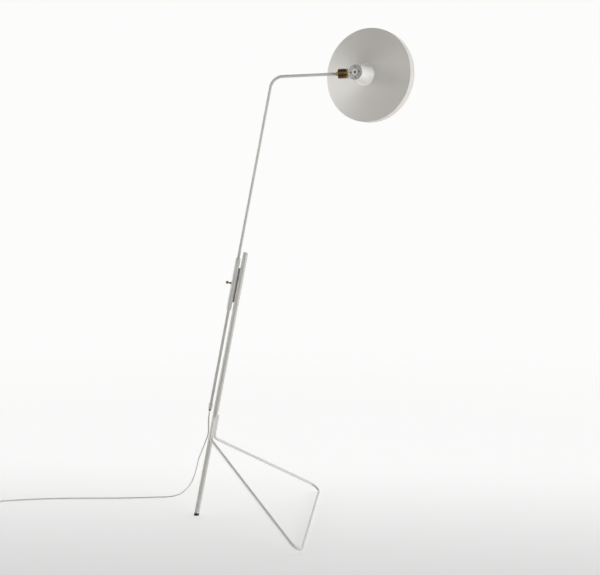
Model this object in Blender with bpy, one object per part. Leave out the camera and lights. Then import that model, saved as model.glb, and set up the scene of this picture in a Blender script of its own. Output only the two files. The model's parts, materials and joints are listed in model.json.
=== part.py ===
"""Adjustable arm floor lamp: a leaning post on a bent bar base, a rod that slides and turns in a clamped
sleeve, and a shallow spun shade on a ball joint. Metres, +Z up. The origin is on the floor under the
post's foot, and the post leans towards +X."""

import math

import bmesh
import bpy
from mathutils import Matrix, Vector

# The gap kept between pieces that touch or turn on each other, and the smaller one over the floor
GAP = 0.0003
FLOOR_GAP = 0.0001

# Post: a straight steel tube that leans over the base
LEAN = math.radians(10.9)
POST_LENGTH = 0.950
POST_RADIUS = 0.009
POST_WALL = 0.0015
FOOT_HEIGHT = 0.009
FOOT_RADIUS = 0.0088
FOOT_SPIGOT = 0.014
EDGE = 0.0006
TOP_PLUG_HEIGHT = 0.0025
TOP_PLUG_SPIGOT = 0.012
TOP_PLUG_CORNER = 0.0008

# Base: one bar bent into a triangle, its two ends welded along the post
BAR_RADIUS = 0.005
BAR_TOP_NEAR = 0.360
BAR_TOP_FAR = 0.366
BAR_BEND_HEIGHT = 0.2836
BAR_HUB_BEND = 0.025
BAR_FLOOR_BEND = 0.028
NEAR_BAR_ANGLE = math.radians(-90)
FAR_BAR_ANGLE = math.radians(53)
CROSSBAR_X = 0.4115
CROSSBAR_HALF = 0.3923

# Arm: a thin tube beside the post, bent level at the top
ROD_OFFSET = 0.0225
ARM_RADIUS = 0.005
ARM_WALL = 0.001
ARM_FOOT = 0.3830
ARM_CORNER = 1.569
ARM_BEND = 0.045
ARM_AZIMUTH = math.radians(-6.17)
ARM_REACH = 0.2257

# Sleeve that guides the arm, its bushes and its web
SLEEVE_FOOT = 0.7446
SLEEVE_LENGTH = 0.1812
SLEEVE_RADIUS = 0.00825
SLEEVE_WALL = 0.0015
BUSH_LENGTH = 0.016
BUSH_FLANGE = 0.0016
BUSH_FLANGE_RADIUS = 0.0076
BUSH_CLEARANCE = 0.00025
WEB_FOOT = 0.772
WEB_LENGTH = 0.122
WEB_THICKNESS = 0.003

# Thumb screw that clamps the arm in the sleeve
SCREW_HEIGHT = 0.8368
SCREW_RADIUS = 0.0025
SCREW_CLEARANCE = 0.0003
BOSS_RADIUS = 0.004
BOSS_LENGTH = 0.004
KNOB_RADIUS = 0.0053
KNOB_NECK = 0.0062
PAD_THICKNESS = 0.0012
PAD_RADIUS = 0.0023

# Stop collar, its grub screw and the cord gland at the arm's lower end
COLLAR_FOOT = 0.388
COLLAR_LENGTH = 0.014
COLLAR_RADIUS = 0.007
GRUB_RADIUS = 0.0014
GLAND_LENGTH = 0.0045
GLAND_RADIUS = 0.0048
GLAND_SPIGOT = 0.012
GLAND_CLEARANCE = 0.0004
GLAND_TAPER = 0.0012
LEAD_RADIUS = 0.0023

# Ball joint between the arm and the shade
RING_LENGTH = 0.0052
RING_RADIUS = 0.007
BARREL_LENGTH = 0.0288
BARREL_RADIUS = 0.016
BARREL_CHAMFER = 0.0018
BARREL_BACK_WALL = 0.004
CAP_LENGTH = 0.0057
BALL_RADIUS = 0.011
BALL_CLEARANCE = 0.0002
MOUTH_RADIUS = 0.009
MOUTH_LIP = 0.00133
MOUTH_EASE = 0.0013
SEAT_AHEAD = 0.004
SEAT_BEHIND = 0.009
CAVITY_CLEARANCE = 0.001
CAVITY_STEP = 0.0025
STUD_RADIUS = 0.004
STUD_BORE = 0.002
MOUTH_TO_NECK = 0.007
STUD_INSIDE = 0.0085
SHOULDER_RADIUS = 0.006
SHOULDER_LENGTH = 0.002
NUT_RADIUS = 0.0065
NUT_LENGTH = 0.0035
SEAT_LENGTH = 0.007
WASHER_THICKNESS = 0.001
KEEPER_RADIUS = 0.008
KEEPER_LENGTH = 0.004
ARM_PAST_KEEPER = 0.001
NUT_SEAT = 0.0015

# Shade, in its own frame: its axis runs from the vent plate to the open rim
SHADE_AZIMUTH = math.radians(23.9)
SHADE_ELEVATION = math.radians(4.55)
NECK_BACK = 0.0142
NECK_RADIUS = 0.027
NECK_WALL = 0.0013
NECK_SWELL = 0.0005
NECK_LEDGE = 0.0011
NECK_LENGTH = 0.0785
NECK_LEDGE_END = 0.018
NECK_WAIST = 0.012
# How far the neck's outside and inside flare past its radius, and how far behind its flange
NECK_FLARE = [(0.0018, 0.022), (0.0032, 0.012), (0.0055, 0.0055), (0.0080, 0.0024)]
NECK_FLARE_INSIDE = [(0.0062, 0.0), (0.0036, 0.0055), (0.0014, 0.012), (0.0, 0.022)]
FLANGE_THICKNESS = 0.001
FLANGE_RADIUS = 0.038
PLATE_THICKNESS = 0.002
PLATE_INSET = 0.0008
VENT_RADIUS = 0.0024
VENT_CIRCLE = 0.0168
SHADE_RADIUS = 0.160
SHADE_FLAT = 0.039
SHADE_RISE = 0.020
SHADE_RIM_DEPTH = 0.037
SHADE_WALL = 0.0012
SHADE_WALL_RISE = 0.001
SHADE_SHOULDER = 0.004
RIM_BEAD = 0.0014
RIM_BEAD_DEPTH = 0.0020
RIM_BEAD_END = 0.0032

# Lamp holder and bulb on the shade's axis
NIPPLE_RADIUS = 0.0056
NIPPLE_BORE = 0.0044
NIPPLE_LENGTH = 0.032
RING_NUT_RADIUS = 0.011
RING_NUT_LENGTH = 0.003
HOLDER_BACK = 0.010
HOLDER_RADIUS = 0.0195
HOLDER_LENGTH = 0.0615
HOLDER_BORE = 0.0134
HOLDER_WALL = 0.003
HOLDER_CORNER = 0.0015
HOLDER_STEP = 0.001
SHADE_RING_RADIUS = 0.028
SHADE_RING_LENGTH = 0.0038
BLOCK_THICKNESS = 0.006
BLOCK_LIFT = 0.011
CONTACT_HEIGHT = 0.004
CONTACT_RADIUS = 0.004
CONTACT_TIP_RADIUS = 0.002
HOLDER_LEAD_RADIUS = 0.0017
# The lead's bend, from the stud's end: how far towards the holder's axis, and how far forward
HOLDER_LEAD_BEND = [(0.0025, 0.0006), (0.0050, 0.0025), (0.0066, 0.0055)]
HOLDER_LEAD_END = 0.0070
BULB_CAP_RADIUS = 0.013
BULB_CAP_LENGTH = 0.025
# The cap's narrow end: its radius, and its height over the contact
BULB_CAP_TIP = [(0.005, 0.0), (0.0055, 0.001), (0.011, 0.0035)]
BULB_CAP_THREAD = 0.006
BULB_CAP_LIP = 0.0006
BULB_RADIUS = 0.024
BULB_LENGTH = 0.055

# Cord, its coil and its plug, on the floor
CORD_RADIUS = 0.0025
CORD_STEP = 0.015
COIL_CENTRE = Vector((-0.847, 0.095, 0.0))
COIL_INNER = 0.0182
COIL_OUTER = 0.0368
COIL_HEIGHT = 0.0107
RELIEF_LENGTH = 0.022
RELIEF_RADIUS = 0.0042
RELIEF_LIP = 0.0004
STRAIGHT_TAIL = 0.009
PLUG_LENGTH = 0.034
PLUG_WIDTH = 0.026
PLUG_THICKNESS = 0.0136
PLUG_CORNER = 0.0035
PIN_LENGTH = 0.019
PIN_RADIUS = 0.002
PIN_POINT = 0.0012
PIN_SPACING = 0.0186
PLUG_PLACE = Vector((-0.877, 0.186, 0.0))
PLUG_TURN = math.radians(8)

# Route of the hanging stretch, from the gland to where the cord lies on the floor
DROP_ROUTE = [
    (0.0494, 0.0000, 0.3753),
    (0.0474, 0.0004, 0.3645),
    (0.0452, 0.0020, 0.3500),
    (0.0440, 0.0050, 0.3300),
    (0.0428, 0.0095, 0.3050),
    (0.0388, 0.0140, 0.2830),
    (0.0312, 0.0190, 0.2640),
    (0.0222, 0.0256, 0.2430),
    (0.0105, 0.0355, 0.2170),
    (-0.0034, 0.0520, 0.1860),
    (-0.0158, 0.0745, 0.1500),
    (-0.0300, 0.1010, 0.1160),
    (-0.0460, 0.1280, 0.0860),
    (-0.0640, 0.1530, 0.0600),
    (-0.0843, 0.1750, 0.0380),
    (-0.1075, 0.1920, 0.0200),
    (-0.1330, 0.2030, 0.0085),
    (-0.1600, 0.2060, 0.0036),
]
# Route along the floor, from there to the coil
FLOOR_ROUTE = [
    (-0.1900, 0.2035, 0.0026),
    (-0.2300, 0.1950, 0.0026),
    (-0.3200, 0.1780, 0.0026),
    (-0.4100, 0.1660, 0.0026),
    (-0.5000, 0.1560, 0.0026),
    (-0.5940, 0.1410, 0.0026),
    (-0.6900, 0.1170, 0.0026),
    (-0.7731, 0.0880, 0.0026),
    (-0.8353, 0.0635, 0.0026),
]
# Route of the short tail, from the coil to the plug's strain relief
TAIL_ROUTE = [
    (-0.8815, 0.1200, 0.0058),
    (-0.8828, 0.1300, 0.0040),
]


# ---- frames: each has its Z on the axis that its pieces are turned or moved about ----


def frame_at(origin, z_axis, x_hint):
    """A frame with its Z along z_axis and its X as near x_hint as it can be."""
    z_axis = Vector(z_axis).normalized()
    y_axis = z_axis.cross(Vector(x_hint)).normalized()
    turn = Matrix((y_axis.cross(z_axis), y_axis, z_axis)).transposed()
    return Matrix.Translation(origin) @ turn.to_4x4()


def up(frame, distance):
    """The frame moved along its own Z."""
    return frame @ Matrix.Translation((0, 0, distance))


POST_AXIS = Vector((math.sin(LEAN), 0.0, math.cos(LEAN)))
POST = frame_at((0, 0, 0), POST_AXIS, (1, 0, 0))
ROD = POST @ Matrix.Translation((-ROD_OFFSET, 0, 0))
ACROSS = POST.to_3x3() @ Vector((-1, 0, 0))
SCREW = frame_at(ROD @ Vector((0, 0, SCREW_HEIGHT)), ACROSS, POST_AXIS)

CORNER = ROD @ Vector((0, 0, ARM_CORNER))
ARM_DIRECTION = Vector((math.cos(ARM_AZIMUTH), math.sin(ARM_AZIMUTH), 0.0))
ARM = frame_at(CORNER, ARM_DIRECTION, (0, 0, 1))

# Distances from the arm's corner along its level run
BARREL_START = ARM_REACH + RING_LENGTH + GAP
CAP_START = BARREL_START + BARREL_LENGTH + GAP
MOUTH = CAP_START + CAP_LENGTH
SEAT_SPHERE = BALL_RADIUS + BALL_CLEARANCE
MOUTH_ARC = math.sqrt(SEAT_SPHERE**2 - MOUTH_RADIUS**2)
BALL_AT = MOUTH - MOUTH_ARC - MOUTH_LIP
STUD_REACH = NECK_RADIUS + MOUTH - BALL_AT + MOUTH_TO_NECK
STUD_TIP = STUD_REACH - NECK_RADIUS + STUD_INSIDE
KEEPER_START = BARREL_START + BARREL_BACK_WALL + GAP
ARM_TIP = KEEPER_START + KEEPER_LENGTH + ARM_PAST_KEEPER

SHADE_AXIS = Vector(
    (
        math.sin(SHADE_AZIMUTH) * math.cos(SHADE_ELEVATION),
        math.cos(SHADE_AZIMUTH) * math.cos(SHADE_ELEVATION),
        math.sin(SHADE_ELEVATION),
    )
)
STUD_AXIS = (ARM_DIRECTION - SHADE_AXIS * ARM_DIRECTION.dot(SHADE_AXIS)).normalized()
BALL = up(ARM, BALL_AT)
STUD = frame_at(BALL.translation, STUD_AXIS, SHADE_AXIS)
HEAD = frame_at(BALL.translation + STUD_AXIS * STUD_REACH, SHADE_AXIS, STUD_AXIS)

# Heights on the shade's axis, counted from where the ball stud meets it
PLATE_BACK = -NECK_BACK + PLATE_INSET
LEDGE = PLATE_BACK + PLATE_THICKNESS + GAP
FLANGE_FRONT = NECK_LENGTH - NECK_BACK
SHADE_BACK = FLANGE_FRONT + GAP
SHADE_FRONT = SHADE_BACK + SHADE_WALL
HOLDER_FRONT = HOLDER_BACK + HOLDER_LENGTH
BLOCK_BACK = HOLDER_BACK + HOLDER_WALL + BLOCK_LIFT
BULB_SEAT = BLOCK_BACK + BLOCK_THICKNESS + CONTACT_HEIGHT


# ---- materials ----


def finish(name, colour, roughness, metallic):
    made = bpy.data.materials.new(name)
    made.use_nodes = True
    shader = made.node_tree.nodes["Principled BSDF"]
    shader.inputs["Base Color"].default_value = (*colour, 1.0)
    shader.inputs["Roughness"].default_value = roughness
    shader.inputs["Metallic"].default_value = metallic
    return made


for leftover in list(bpy.data.objects):
    bpy.data.objects.remove(leftover, do_unlink=True)

WHITE_STEEL = finish("white_steel", (0.80, 0.79, 0.76), 0.42, 0.0)
WHITE_ALUMINIUM = finish("white_aluminium", (0.80, 0.79, 0.76), 0.42, 0.0)
BARE_STEEL = finish("bare_steel", (0.56, 0.55, 0.53), 0.38, 1.0)
BRASS = finish("brass", (0.62, 0.44, 0.18), 0.34, 1.0)
BLACK_RUBBER = finish("black_rubber", (0.03, 0.03, 0.03), 0.75, 0.0)
NYLON = finish("nylon", (0.75, 0.73, 0.68), 0.55, 0.0)
BAKELITE = finish("bakelite", (0.04, 0.035, 0.03), 0.35, 0.0)
CERAMIC = finish("ceramic", (0.82, 0.80, 0.76), 0.30, 0.0)
OPAL_GLASS = finish("opal_glass", (0.92, 0.91, 0.88), 0.15, 0.0)
WHITE_CORD = finish("white_cord", (0.82, 0.81, 0.78), 0.55, 0.0)
WHITE_PLASTIC = finish("white_plastic", (0.84, 0.83, 0.80), 0.40, 0.0)


# ---- ways of making a piece ----


def piece(name, mesh, surface, frame):
    """A mesh object placed by its frame, with its round faces shaded smooth."""
    mesh.shade_smooth()
    mesh.set_sharp_from_angle(angle=math.radians(35))
    mesh.materials.append(surface)
    made = bpy.data.objects.new(name, mesh)
    bpy.context.collection.objects.link(made)
    made.matrix_world = frame
    return made


def finished_mesh(name, shape):
    bmesh.ops.remove_doubles(shape, verts=shape.verts[:], dist=1e-6)
    bmesh.ops.recalc_face_normals(shape, faces=shape.faces[:])
    mesh = bpy.data.meshes.new(name)
    shape.to_mesh(mesh)
    shape.free()
    return mesh


def turned(name, outline, surface, frame, sides=24):
    """A lathe piece. The outline is (radius, height) points: from axis to axis, or a closed loop off it."""
    shape = bmesh.new()
    points = [shape.verts.new((radius, 0.0, height)) for radius, height in outline]
    edges = [shape.edges.new(pair) for pair in zip(points, points[1:])]
    if outline[0][0] > 0:
        edges.append(shape.edges.new((points[-1], points[0])))
    bmesh.ops.spin(
        shape,
        geom=points + edges,
        axis=(0, 0, 1),
        cent=(0, 0, 0),
        angle=math.tau,
        steps=sides,
        use_merge=True,
    )
    return piece(name, finished_mesh(name, shape), surface, frame)


def ring(name, inner, outer, foot, top, surface, frame, sides=24):
    loop = [(inner, foot), (outer, foot), (outer, top), (inner, top)]
    return turned(name, loop, surface, frame, sides)


def arc(centre_radius, centre_height, radius, start, end, steps):
    """Points of an arc in an outline, from one angle to another in degrees."""
    angles = [math.radians(start + (end - start) * i / steps) for i in range(steps + 1)]
    return [
        (centre_radius + radius * math.cos(a), centre_height + radius * math.sin(a))
        for a in angles
    ]


def bent_tube(name, corners, bends, radius, wall, surface, sides=14, steps=6):
    """A round bar, or a tube when wall isn't 0, that runs straight between corners and turns at each."""
    shape = bmesh.new()
    direction = (corners[1] - corners[0]).normalized()
    start = frame_at(corners[0], direction, (0, 0.3, 1))
    bmesh.ops.create_circle(shape, radius=radius, segments=sides, matrix=start)
    first = shape.edges[:]
    rims = first
    place = corners[0]
    for corner, following, bend in zip(corners[1:], corners[2:] + [None], bends + [0.0]):
        direction = (corner - place).normalized()
        turn = direction.angle(following - corner) if following else 0.0
        set_back = bend * math.tan(turn / 2)
        end = corner - direction * set_back
        made = bmesh.ops.extrude_edge_only(shape, edges=rims)["geom"]
        rims = [item for item in made if isinstance(item, bmesh.types.BMEdge)]
        moved = {vert for edge in rims for vert in edge.verts}
        bmesh.ops.translate(shape, verts=list(moved), vec=end - place)
        place = end
        if following:
            onward = (following - corner).normalized()
            axis = direction.cross(onward).normalized()
            centre = end + axis.cross(direction) * bend
            made = bmesh.ops.spin(
                shape, geom=rims, cent=centre, axis=axis, angle=turn, steps=steps
            )["geom_last"]
            rims = [item for item in made if isinstance(item, bmesh.types.BMEdge)]
            place = corner + onward * set_back
    if not wall:
        bmesh.ops.contextual_create(shape, geom=first)
        bmesh.ops.contextual_create(shape, geom=rims)
    made = piece(name, finished_mesh(name, shape), surface, Matrix())
    if wall:
        skin = made.modifiers.new("wall", "SOLIDIFY")
        skin.thickness = wall
        skin.offset = -1.0
        skin.use_even_offset = True
    return made


def cylinder_mesh(name, radius, foot, top, sides):
    shape = bmesh.new()
    bmesh.ops.create_cone(
        shape,
        cap_ends=True,
        segments=sides,
        radius1=radius,
        radius2=radius,
        depth=top - foot,
        matrix=Matrix.Translation((0, 0, (foot + top) / 2)),
    )
    return finished_mesh(name, shape)


def bore(target, radius, foot, top, frame, sides=24):
    """Drills a round hole through the target, along the frame's Z."""
    name = f"{target.name}_drill"
    drill = bpy.data.objects.new(name, cylinder_mesh(name, radius, foot, top, sides))
    bpy.context.collection.objects.link(drill)
    drill.matrix_world = frame
    drill.hide_render = True
    drill.display_type = "WIRE"
    cut = target.modifiers.new("bore", "BOOLEAN")
    cut.operation = "DIFFERENCE"
    cut.object = drill


def block(name, size, bevel, surface, frame):
    """A box with rounded edges, centred on its frame."""
    shape = bmesh.new()
    bmesh.ops.create_cube(shape, size=1.0, matrix=Matrix.Diagonal((*size, 1.0)))
    bmesh.ops.bevel(
        shape,
        geom=shape.edges[:],
        offset=bevel,
        segments=2,
        profile=0.5,
        affect="EDGES",
    )
    return piece(name, finished_mesh(name, shape), surface, frame)


def smooth_route(route, step):
    """Points a step apart on a smooth curve through the route's own points."""
    points = [Vector(point) for point in route]
    before = points[0] * 2 - points[1]
    after = points[-1] * 2 - points[-2]
    padded = [before, *points, after]
    fine = []
    for p0, p1, p2, p3 in zip(padded, padded[1:], padded[2:], padded[3:]):
        for i in range(24):
            t = i / 24
            fine.append(
                0.5
                * (
                    2 * p1
                    + (p2 - p0) * t
                    + (2 * p0 - 5 * p1 + 4 * p2 - p3) * t**2
                    + (3 * p1 - p0 - 3 * p2 + p3) * t**3
                )
            )
    fine.append(points[-1])
    lengths = [0.0]
    for a, b in zip(fine, fine[1:]):
        lengths.append(lengths[-1] + (b - a).length)
    count = max(2, round(lengths[-1] / step))
    spaced = []
    index = 0
    for i in range(count + 1):
        target = lengths[-1] * i / count
        while index < len(fine) - 2 and lengths[index + 1] < target:
            index += 1
        share = (target - lengths[index]) / (lengths[index + 1] - lengths[index])
        spaced.append(fine[index].lerp(fine[index + 1], share))
    return spaced


def cord(name, points, radius, surface):
    """A round cord along its points, with closed ends."""
    curve = bpy.data.curves.new(name, "CURVE")
    curve.dimensions = "3D"
    curve.bevel_depth = radius
    curve.bevel_resolution = 1
    curve.use_fill_caps = True
    spline = curve.splines.new("POLY")
    spline.points.add(len(points) - 1)
    for spot, point in zip(spline.points, points):
        spot.co = (*point, 1.0)
    curve.materials.append(surface)
    made = bpy.data.objects.new(name, curve)
    bpy.context.collection.objects.link(made)
    return made


# ---- post: steel tube with a rubber foot and a plug in its top ----

POST_BORE = POST_RADIUS - POST_WALL
ring("post_tube", POST_BORE, POST_RADIUS, FOOT_HEIGHT, POST_LENGTH, WHITE_STEEL, POST)
turned(
    "post_top_plug",
    [
        (0.0, POST_LENGTH - TOP_PLUG_SPIGOT),
        (POST_BORE - GAP, POST_LENGTH - TOP_PLUG_SPIGOT),
        (POST_BORE - GAP, POST_LENGTH + GAP),
        (POST_RADIUS, POST_LENGTH + GAP),
        (POST_RADIUS, POST_LENGTH + TOP_PLUG_HEIGHT - TOP_PLUG_CORNER),
        (POST_RADIUS - TOP_PLUG_CORNER, POST_LENGTH + TOP_PLUG_HEIGHT),
        (0.0, POST_LENGTH + TOP_PLUG_HEIGHT),
    ],
    WHITE_PLASTIC,
    POST,
)
post_foot = turned(
    "post_foot",
    [
        (0.0, -0.01),
        (FOOT_RADIUS, -0.01),
        (FOOT_RADIUS, FOOT_HEIGHT - GAP - EDGE),
        (FOOT_RADIUS - EDGE, FOOT_HEIGHT - GAP),
        (POST_BORE - GAP, FOOT_HEIGHT - GAP),
        (POST_BORE - GAP, FOOT_HEIGHT + FOOT_SPIGOT),
        (0.0, FOOT_HEIGHT + FOOT_SPIGOT),
    ],
    BLACK_RUBBER,
    POST,
)
# The floor cuts the leaning foot level, so that it stands on a flat face.
bore(post_foot, 4 * FOOT_RADIUS, -0.05, 0.0, Matrix())


# ---- base: one bent bar, its ends along the post and its crossbar on the floor ----


def beside_post(angle, height):
    reach = POST_RADIUS + GAP + BAR_RADIUS
    return POST @ Vector((reach * math.cos(angle), reach * math.sin(angle), height))


BAR_LIFT = BAR_RADIUS + FLOOR_GAP
bent_tube(
    "base_loop",
    [
        beside_post(NEAR_BAR_ANGLE, BAR_TOP_NEAR),
        beside_post(NEAR_BAR_ANGLE, BAR_BEND_HEIGHT),
        Vector((CROSSBAR_X, -CROSSBAR_HALF, BAR_LIFT)),
        Vector((CROSSBAR_X, CROSSBAR_HALF, BAR_LIFT)),
        beside_post(FAR_BAR_ANGLE, BAR_BEND_HEIGHT),
        beside_post(FAR_BAR_ANGLE, BAR_TOP_FAR),
    ],
    [BAR_HUB_BEND, BAR_FLOOR_BEND, BAR_FLOOR_BEND, BAR_HUB_BEND],
    BAR_RADIUS,
    0.0,
    WHITE_STEEL,
)


# ---- sleeve that guides the arm, with a bush in each end and a web to the post ----

SLEEVE_TOP = SLEEVE_FOOT + SLEEVE_LENGTH
SLEEVE_BORE = SLEEVE_RADIUS - SLEEVE_WALL
BUSH_BORE = ARM_RADIUS + BUSH_CLEARANCE
guide_sleeve = ring(
    "guide_sleeve", SLEEVE_BORE, SLEEVE_RADIUS, SLEEVE_FOOT, SLEEVE_TOP, WHITE_STEEL, ROD
)
for side, end, outward in (("lower", SLEEVE_FOOT, -1), ("upper", SLEEVE_TOP, 1)):
    turned(
        f"sleeve_bush_{side}",
        [
            (BUSH_BORE, end - outward * BUSH_LENGTH),
            (SLEEVE_BORE - GAP, end - outward * BUSH_LENGTH),
            (SLEEVE_BORE - GAP, end + outward * GAP),
            (BUSH_FLANGE_RADIUS, end + outward * GAP),
            (BUSH_FLANGE_RADIUS, end + outward * BUSH_FLANGE),
            (BUSH_BORE, end + outward * BUSH_FLANGE),
        ],
        NYLON,
        ROD,
    )
WEB_WIDTH = ROD_OFFSET - POST_RADIUS - SLEEVE_RADIUS - 2 * GAP
WEB_MIDDLE = -POST_RADIUS - GAP - WEB_WIDTH / 2
block(
    "web_plate",
    (WEB_WIDTH, WEB_THICKNESS, WEB_LENGTH),
    EDGE,
    WHITE_STEEL,
    POST @ Matrix.Translation((WEB_MIDDLE, 0, WEB_FOOT + WEB_LENGTH / 2)),
)


# ---- clamp: a boss on the sleeve, a brass thumb screw through it and a pad at its tip ----

SCREW_HOLE = SCREW_RADIUS + SCREW_CLEARANCE
bore(guide_sleeve, SCREW_HOLE, 0.0, 2 * SLEEVE_RADIUS, SCREW)
BOSS_FOOT = SLEEVE_RADIUS + GAP
BOSS_TOP = BOSS_FOOT + BOSS_LENGTH
ring("screw_boss", SCREW_HOLE, BOSS_RADIUS, BOSS_FOOT, BOSS_TOP, BARE_STEEL, SCREW, 24)
PAD_FOOT = ARM_RADIUS + GAP
PAD_TOP = PAD_FOOT + PAD_THICKNESS
turned(
    "pressure_pad",
    [(0.0, PAD_FOOT), (PAD_RADIUS, PAD_FOOT), (PAD_RADIUS, PAD_TOP), (0.0, PAD_TOP)],
    NYLON,
    SCREW,
    20,
)
KNOB_CENTRE = BOSS_TOP + KNOB_NECK + KNOB_RADIUS * 0.85
SCREW_END = KNOB_CENTRE - KNOB_RADIUS * 0.2
turned(
    "thumb_screw",
    [(0.0, PAD_TOP + GAP), (SCREW_RADIUS, PAD_TOP + GAP), (SCREW_RADIUS, SCREW_END), (0.0, SCREW_END)],
    BRASS,
    SCREW,
    20,
)
KNOB_BORE = SCREW_RADIUS + GAP
KNOB_START = math.degrees(math.acos(KNOB_BORE / KNOB_RADIUS))
turned(
    "thumb_knob",
    [(0.0, SCREW_END + GAP), (KNOB_BORE, SCREW_END + GAP)]
    + arc(0.0, KNOB_CENTRE, KNOB_RADIUS, -KNOB_START, 80, 10)
    + [(0.0, KNOB_CENTRE + KNOB_RADIUS)],
    BRASS,
    SCREW,
    24,
)


# ---- arm: the bent tube with its lead inside, a stop collar and a gland at its foot ----

ARM_BORE = ARM_RADIUS - ARM_WALL
bent_tube(
    "arm_tube",
    [ROD @ Vector((0, 0, ARM_FOOT)), CORNER, ARM @ Vector((0, 0, ARM_TIP))],
    [ARM_BEND],
    ARM_RADIUS,
    ARM_WALL,
    WHITE_STEEL,
    sides=20,
)
COLLAR_BORE = ARM_RADIUS + GAP
COLLAR_TOP = COLLAR_FOOT + COLLAR_LENGTH
stop_collar = turned(
    "stop_collar",
    [
        (COLLAR_BORE, COLLAR_FOOT),
        (COLLAR_RADIUS - EDGE, COLLAR_FOOT),
        (COLLAR_RADIUS, COLLAR_FOOT + EDGE),
        (COLLAR_RADIUS, COLLAR_TOP - EDGE),
        (COLLAR_RADIUS - EDGE, COLLAR_TOP),
        (COLLAR_BORE, COLLAR_TOP),
    ],
    WHITE_STEEL,
    ROD,
)
GRUB = frame_at(ROD @ Vector((0, 0, COLLAR_FOOT + COLLAR_LENGTH / 2)), ACROSS, POST_AXIS)
bore(stop_collar, GRUB_RADIUS + GAP, 0.0, 2 * COLLAR_RADIUS, GRUB, 12)
turned(
    "collar_grub_screw",
    [
        (0.0, COLLAR_BORE),
        (GRUB_RADIUS, COLLAR_BORE),
        (GRUB_RADIUS, COLLAR_RADIUS - GAP),
        (0.0, COLLAR_RADIUS - GAP),
    ],
    BARE_STEEL,
    GRUB,
    12,
)
GLAND_TIP = ARM_FOOT - GAP - GLAND_LENGTH
GLAND_TOP = ARM_FOOT + GLAND_SPIGOT
GLAND_NECK = ARM_BORE - GLAND_CLEARANCE
turned(
    "cord_gland",
    [
        (LEAD_RADIUS + GAP, GLAND_TIP),
        (GLAND_RADIUS - GLAND_TAPER, GLAND_TIP),
        (GLAND_RADIUS, ARM_FOOT - GAP - GLAND_TAPER),
        (GLAND_RADIUS, ARM_FOOT - GAP),
        (GLAND_NECK, ARM_FOOT - GAP),
        (GLAND_NECK, GLAND_TOP),
        (LEAD_RADIUS + GAP, GLAND_TOP),
    ],
    BLACK_RUBBER,
    ROD,
    24,
)
bent_tube(
    "inner_lead",
    [ROD @ Vector((0, 0, GLAND_TIP)), CORNER, ARM @ Vector((0, 0, ARM_TIP))],
    [ARM_BEND],
    LEAD_RADIUS,
    0.0,
    WHITE_CORD,
    sides=8,
)


# ---- ball joint: a brass ring and keeper on the arm, and a barrel with its cap that holds the ball ----

RING_BORE = ARM_RADIUS + GAP
ring("arm_ring", RING_BORE, RING_RADIUS, ARM_REACH, ARM_REACH + RING_LENGTH, BRASS, ARM)
ring(
    "arm_keeper",
    RING_BORE,
    KEEPER_RADIUS,
    KEEPER_START,
    KEEPER_START + KEEPER_LENGTH,
    BARE_STEEL,
    ARM,
)
BARREL_END = BARREL_START + BARREL_LENGTH
CAVITY = BALL_RADIUS + CAVITY_CLEARANCE
SEAT_FRONT = BALL_AT - SEAT_AHEAD
SEAT_BACK = SEAT_FRONT - SEAT_LENGTH
SPRING_BACK = SEAT_BACK - GAP - WASHER_THICKNESS
STEP = SPRING_BACK - GAP
turned(
    "joint_barrel",
    [
        (RING_BORE, BARREL_START),
        (BARREL_RADIUS - BARREL_CHAMFER, BARREL_START),
        (BARREL_RADIUS, BARREL_START + BARREL_CHAMFER),
        (BARREL_RADIUS, BARREL_END),
        (CAVITY, BARREL_END),
        (CAVITY, STEP),
        (CAVITY - CAVITY_STEP, STEP),
        (CAVITY - CAVITY_STEP, BARREL_START + BARREL_BACK_WALL),
        (RING_BORE, BARREL_START + BARREL_BACK_WALL),
    ],
    BRASS,
    ARM,
    32,
)
CAP_ANGLE = math.degrees(math.asin((CAP_START - BALL_AT) / SEAT_SPHERE))
MOUTH_ANGLE = math.degrees(math.acos(MOUTH_RADIUS / SEAT_SPHERE))
turned(
    "barrel_cap",
    arc(0.0, BALL_AT, SEAT_SPHERE, CAP_ANGLE, MOUTH_ANGLE, 5)
    + [
        (MOUTH_RADIUS + MOUTH_EASE, MOUTH),
        (BARREL_RADIUS - BARREL_CHAMFER, MOUTH),
        (BARREL_RADIUS, MOUTH - BARREL_CHAMFER),
        (BARREL_RADIUS, CAP_START),
    ],
    BRASS,
    ARM,
    32,
)
SEAT_TOP_ANGLE = math.degrees(math.asin((SEAT_FRONT - BALL_AT) / SEAT_SPHERE))
SEAT_LOW_ANGLE = math.degrees(math.asin(-SEAT_BEHIND / SEAT_SPHERE))
SEAT_BORE = SEAT_SPHERE * math.cos(math.radians(SEAT_LOW_ANGLE))
turned(
    "ball_seat",
    arc(0.0, BALL_AT, SEAT_SPHERE, SEAT_LOW_ANGLE, SEAT_TOP_ANGLE, 4)
    + [(CAVITY - GAP, SEAT_FRONT), (CAVITY - GAP, SEAT_BACK), (SEAT_BORE, SEAT_BACK)],
    NYLON,
    ARM,
)
ring("seat_spring", SEAT_BORE, CAVITY - GAP, SPRING_BACK, SPRING_BACK + WASHER_THICKNESS, BARE_STEEL, ARM)

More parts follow.
